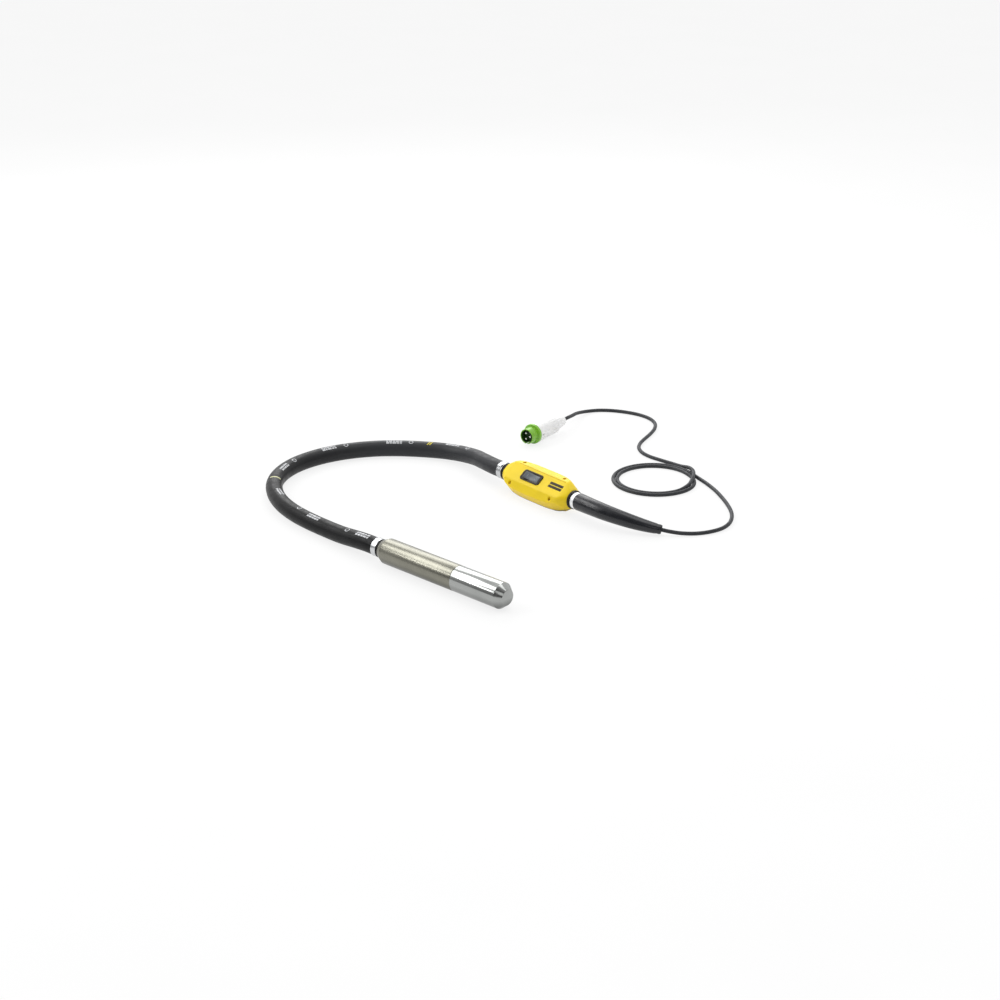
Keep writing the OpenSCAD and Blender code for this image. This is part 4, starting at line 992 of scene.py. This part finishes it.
def notch():
    """The keyway of the shroud, on the side away from the ground."""
    return box_piece("notch", PLUG, (0, -2.5, -1), (30, 2.5, 14))


def at_plug_screws():
    return [PLUG @ Matrix.Translation((0, 0, 39 * MM)) @ Matrix.Rotation(side * math.pi / 2, 4, "X")
            for side in (-1, 1)]


PIN_CIRCLE, PIN_R, PIN_FOOT_R, SHADE_SLEEVE_R = 8.5, 2.5, 3.0, 16.95
PLUG_SCREW_BORE = 1.62
collar = lathe("plug_collar_green", [
    (17, 0), (19, 0), (19, 21.6), (23.8, 22.2), (25, 23.4), (25, 30), (20.5, 30), (20.5, 48), (17, 48)],
    PLUG, [0.4, 0.9, 1.2, 0.8, 0.8, 0.5, 0, 0.5, 0], 128)
cut(collar, notch())
for at in at_plug_screws():
    cut(collar, lathe("hole", [(AXIS_R, 15), (PLUG_SCREW_BORE, 15), (PLUG_SCREW_BORE, 30),
                               (AXIS_R, 30)], at, 0, 24))
finish_mesh(collar, 30)
put(collar, GREEN, "housing", ["plug_collar"])

# the pins' carrier, with a thin dark sleeve over the shroud's inner wall in front of it: painted shade
# inside the shroud
insert = lathe("plug_face", [
    (AXIS_R, 16), (16.6, 16), (16.6, 1.6), (SHADE_SLEEVE_R, 1.6), (SHADE_SLEEVE_R, 46), (AXIS_R, 46)],
    PLUG, [0, 0, 0, 0, 0.8, 0], 96)
cut(insert, notch())
pins = []
for k in range(3):
    a = math.radians(30 + 120 * k)
    at = PLUG @ Matrix.Translation((PIN_CIRCLE * math.cos(a) * MM, PIN_CIRCLE * math.sin(a) * MM, 0))
    cut(insert, lathe("bore", [(AXIS_R, 10), (PIN_FOOT_R + 0.02, 10), (PIN_FOOT_R + 0.02, 52),
                               (AXIS_R, 52)], at, 0, 32))
    pins.append(lathe("pin", [
        (AXIS_R, 3), (1.7, 3), (PIN_R, 4.6), (PIN_R, 16.2), (PIN_FOOT_R, 16.2), (PIN_FOOT_R, 50),
        (AXIS_R, 50)], at, [0, 0.8, 1.0, 0, 0.2, 0.2, 0], 40))
finish_mesh(insert, 30)
put(insert, DARK_GREEN, "housing", ["plug_insert"])
pins = merge("plug_contact_pins", pins)
put(pins, NICKEL, "housing", ["plug_pins"])

shell = lathe("plug_shell_white", stations([
    (20.52, 30.1), (24.5, 30.1), (24.5, 41.6), (24.1, 42.3), (22.25, 69.6), (22.1, 70.2), (22.0, 109.3),
    (21.3, 110), (10, 110), (10, 104), (18, 104), (18, 48.1), (20.52, 48.1)], 2.5),
    PLUG, 0, 144, ribs(78, 106, 18, 0.5, 4))
for at in at_plug_screws():
    cut(shell, lathe("hole", [(AXIS_R, 15), (PLUG_SCREW_BORE, 15), (PLUG_SCREW_BORE, 22.6),
                              (3.1, 22.6), (3.1, 30), (AXIS_R, 30)], at, 0, 32))
finish_mesh(shell, 30)
put(shell, WHITE, "housing", ["plug_shell"])

cap = lathe("plug_cap_white", rounded(stations([
    (12, 110.15), (15.5, 110.15), (15.5, 132), (12.5, 150), (4.9, 150), (4.9, 141), (12, 141)], 2.5),
    0.35, 2), PLUG, 0, 144, ribs(111.5, 131, 14, 0.6, 1.5), steps=2)
put(cap, WHITE, "housing", ["plug_cap"])

# -------------------------------- finishes of the carried-over nodes
FINISHES = {
    DARK_STEEL: ["stator_core", "rotor_shaft", "rotor_core", "eccentric_key"],
    COPPER: ["stator_winding"],
    BLACK: ["thermal_cutout", "cable_clamps", "switch_base"],
    RED_WIRE: ["motor_leads", "internal_wires", "plug_wires"],
    BEARING_STEEL: ["bearing_outer_rings", "bearing_inner_rings", "bearing_balls"],
    SPRING_STEEL: ["bore_circlips", "preload_spring", "shaft_circlips"],
    SEAL_RUBBER: ["head_o_rings", "head_cable_seal", "housing_gasket", "plug_gland_seal"],
    ZINC: ["rotor_end_rings", "hose_nipple", "nipple_nuts", "boot_nipple", "clamp_screws",
           "rocker_pin", "seesaw_pin", "plug_screws"],
    IRON: ["eccentric_weight"],
    BRASS: ["bearing_cages", "terminal_screws", "fixed_contacts", "rocker_plunger", "contact_seesaw"],
    IVORY: ["terminal_block"],
}
for material, names in FINISHES.items():
    for name in names:
        mesh = NODES[name].data
        mesh.materials.clear()
        mesh.materials.append(material)

# -------------------------------- floor, light
GLOW_SHARE = 0.82


def maths(nodes, links, operation, first, second):
    """An operation on two values; the second is a socket or a plain number."""
    m = nodes.new("ShaderNodeMath")
    m.operation = operation
    links.new(first, m.inputs[0])
    if isinstance(second, float):
        m.inputs[1].default_value = second
    else:
        links.new(second, m.inputs[1])
    return m.outputs[0]


def plain_surface(name):
    """White ground that glows for camera, glossy and transmission rays, so that it blends with the
    background but for the contact shadows."""
    mat, nodes, links, shader = node_tree(name)
    coords = nodes.new("ShaderNodeTexCoord").outputs["Object"]
    links.new(tint(nodes, links, noise(nodes, links, coords, 3, 2), (0.90, 0.90, 0.90),
                   (0.93, 0.93, 0.93)), shader.inputs["Base Color"])
    shader.inputs["Roughness"].default_value = 0.9
    glow = nodes.new("ShaderNodeEmission")
    glow.inputs["Strength"].default_value = 1.0
    rays = nodes.new("ShaderNodeLightPath")
    seen = maths(nodes, links, "MAXIMUM", rays.outputs["Is Camera Ray"], rays.outputs["Is Glossy Ray"])
    seen = maths(nodes, links, "MAXIMUM", seen, rays.outputs["Is Transmission Ray"])
    mix = nodes.new("ShaderNodeMixShader")
    links.new(maths(nodes, links, "MULTIPLY", seen, GLOW_SHARE), mix.inputs["Fac"])
    links.new(shader.outputs[0], mix.inputs[1])
    links.new(glow.outputs[0], mix.inputs[2])
    links.new(mix.outputs[0], nodes["Material Output"].inputs["Surface"])
    return mat


FLOOR_R, FLOOR_Z = 40, -0.0002
floor = new_piece("floor", [(FLOOR_R * math.cos(math.radians(a)), FLOOR_R * math.sin(math.radians(a)),
                             FLOOR_Z) for a in range(0, 360, 6)], [tuple(range(60))])
dress(floor, plain_surface("studio_floor"))


def lamp(name, place, aim, size, level):
    """A soft square lamp; level is how bright its face is."""
    data = bpy.data.lights.new(name, "AREA")
    data.shape = "RECTANGLE"
    data.size, data.size_y = size
    data.energy = level * math.pi * size[0] * size[1]
    item = add_object(name, data)
    item.location = place
    item.visible_camera = False
    item.rotation_euler = (Vector(aim) - Vector(place)).to_track_quat("-Z", "Y").to_euler()


lamp("key", (-2.8, -1.6, 3.0), (0, 0, 0), (2.2, 1.6), 4.2)
lamp("strip", (-2.7, -2.9, 1.9), (0, 0, 0), (1.3, 0.4), 10.0)
lamp("top", (0.6, 1.2, 4.2), (0, 0.2, 0), (3.4, 2.6), 1.7)
lamp("back", (-2.5, 1.9, 2.1), (0, 0, 0), (2.6, 1.9), 2.8)
lamp("fill", (3.4, -2.2, 2.4), (0, 0, 0), (2.4, 1.6), 1.0)

# the world lights the part from one side and shows white to the camera
world = bpy.data.worlds.new("studio")
bpy.context.scene.world = world
world.use_nodes = True
nodes, links = world.node_tree.nodes, world.node_tree.links
coords = nodes.new("ShaderNodeTexCoord").outputs["Generated"]
facing = nodes.new("ShaderNodeVectorMath")
facing.operation = "DOT_PRODUCT"
facing.inputs[1].default_value = (-0.60, 0.72, 0.35)
links.new(coords, facing.inputs[0])
level = spread(nodes, links, facing.outputs["Value"], 0.16, 1.0, -0.3, 0.6)
rays = nodes.new("ShaderNodeLightPath")
shown = nodes.new("ShaderNodeMix")
shown.data_type = "FLOAT"
links.new(rays.outputs["Is Camera Ray"], shown.inputs["Factor"])
links.new(level, shown.inputs["A"])
shown.inputs["B"].default_value = 1.0
links.new(shown.outputs["Result"], nodes["Background"].inputs["Strength"])
nodes["Background"].inputs["Color"].default_value = (1, 1, 1, 1)
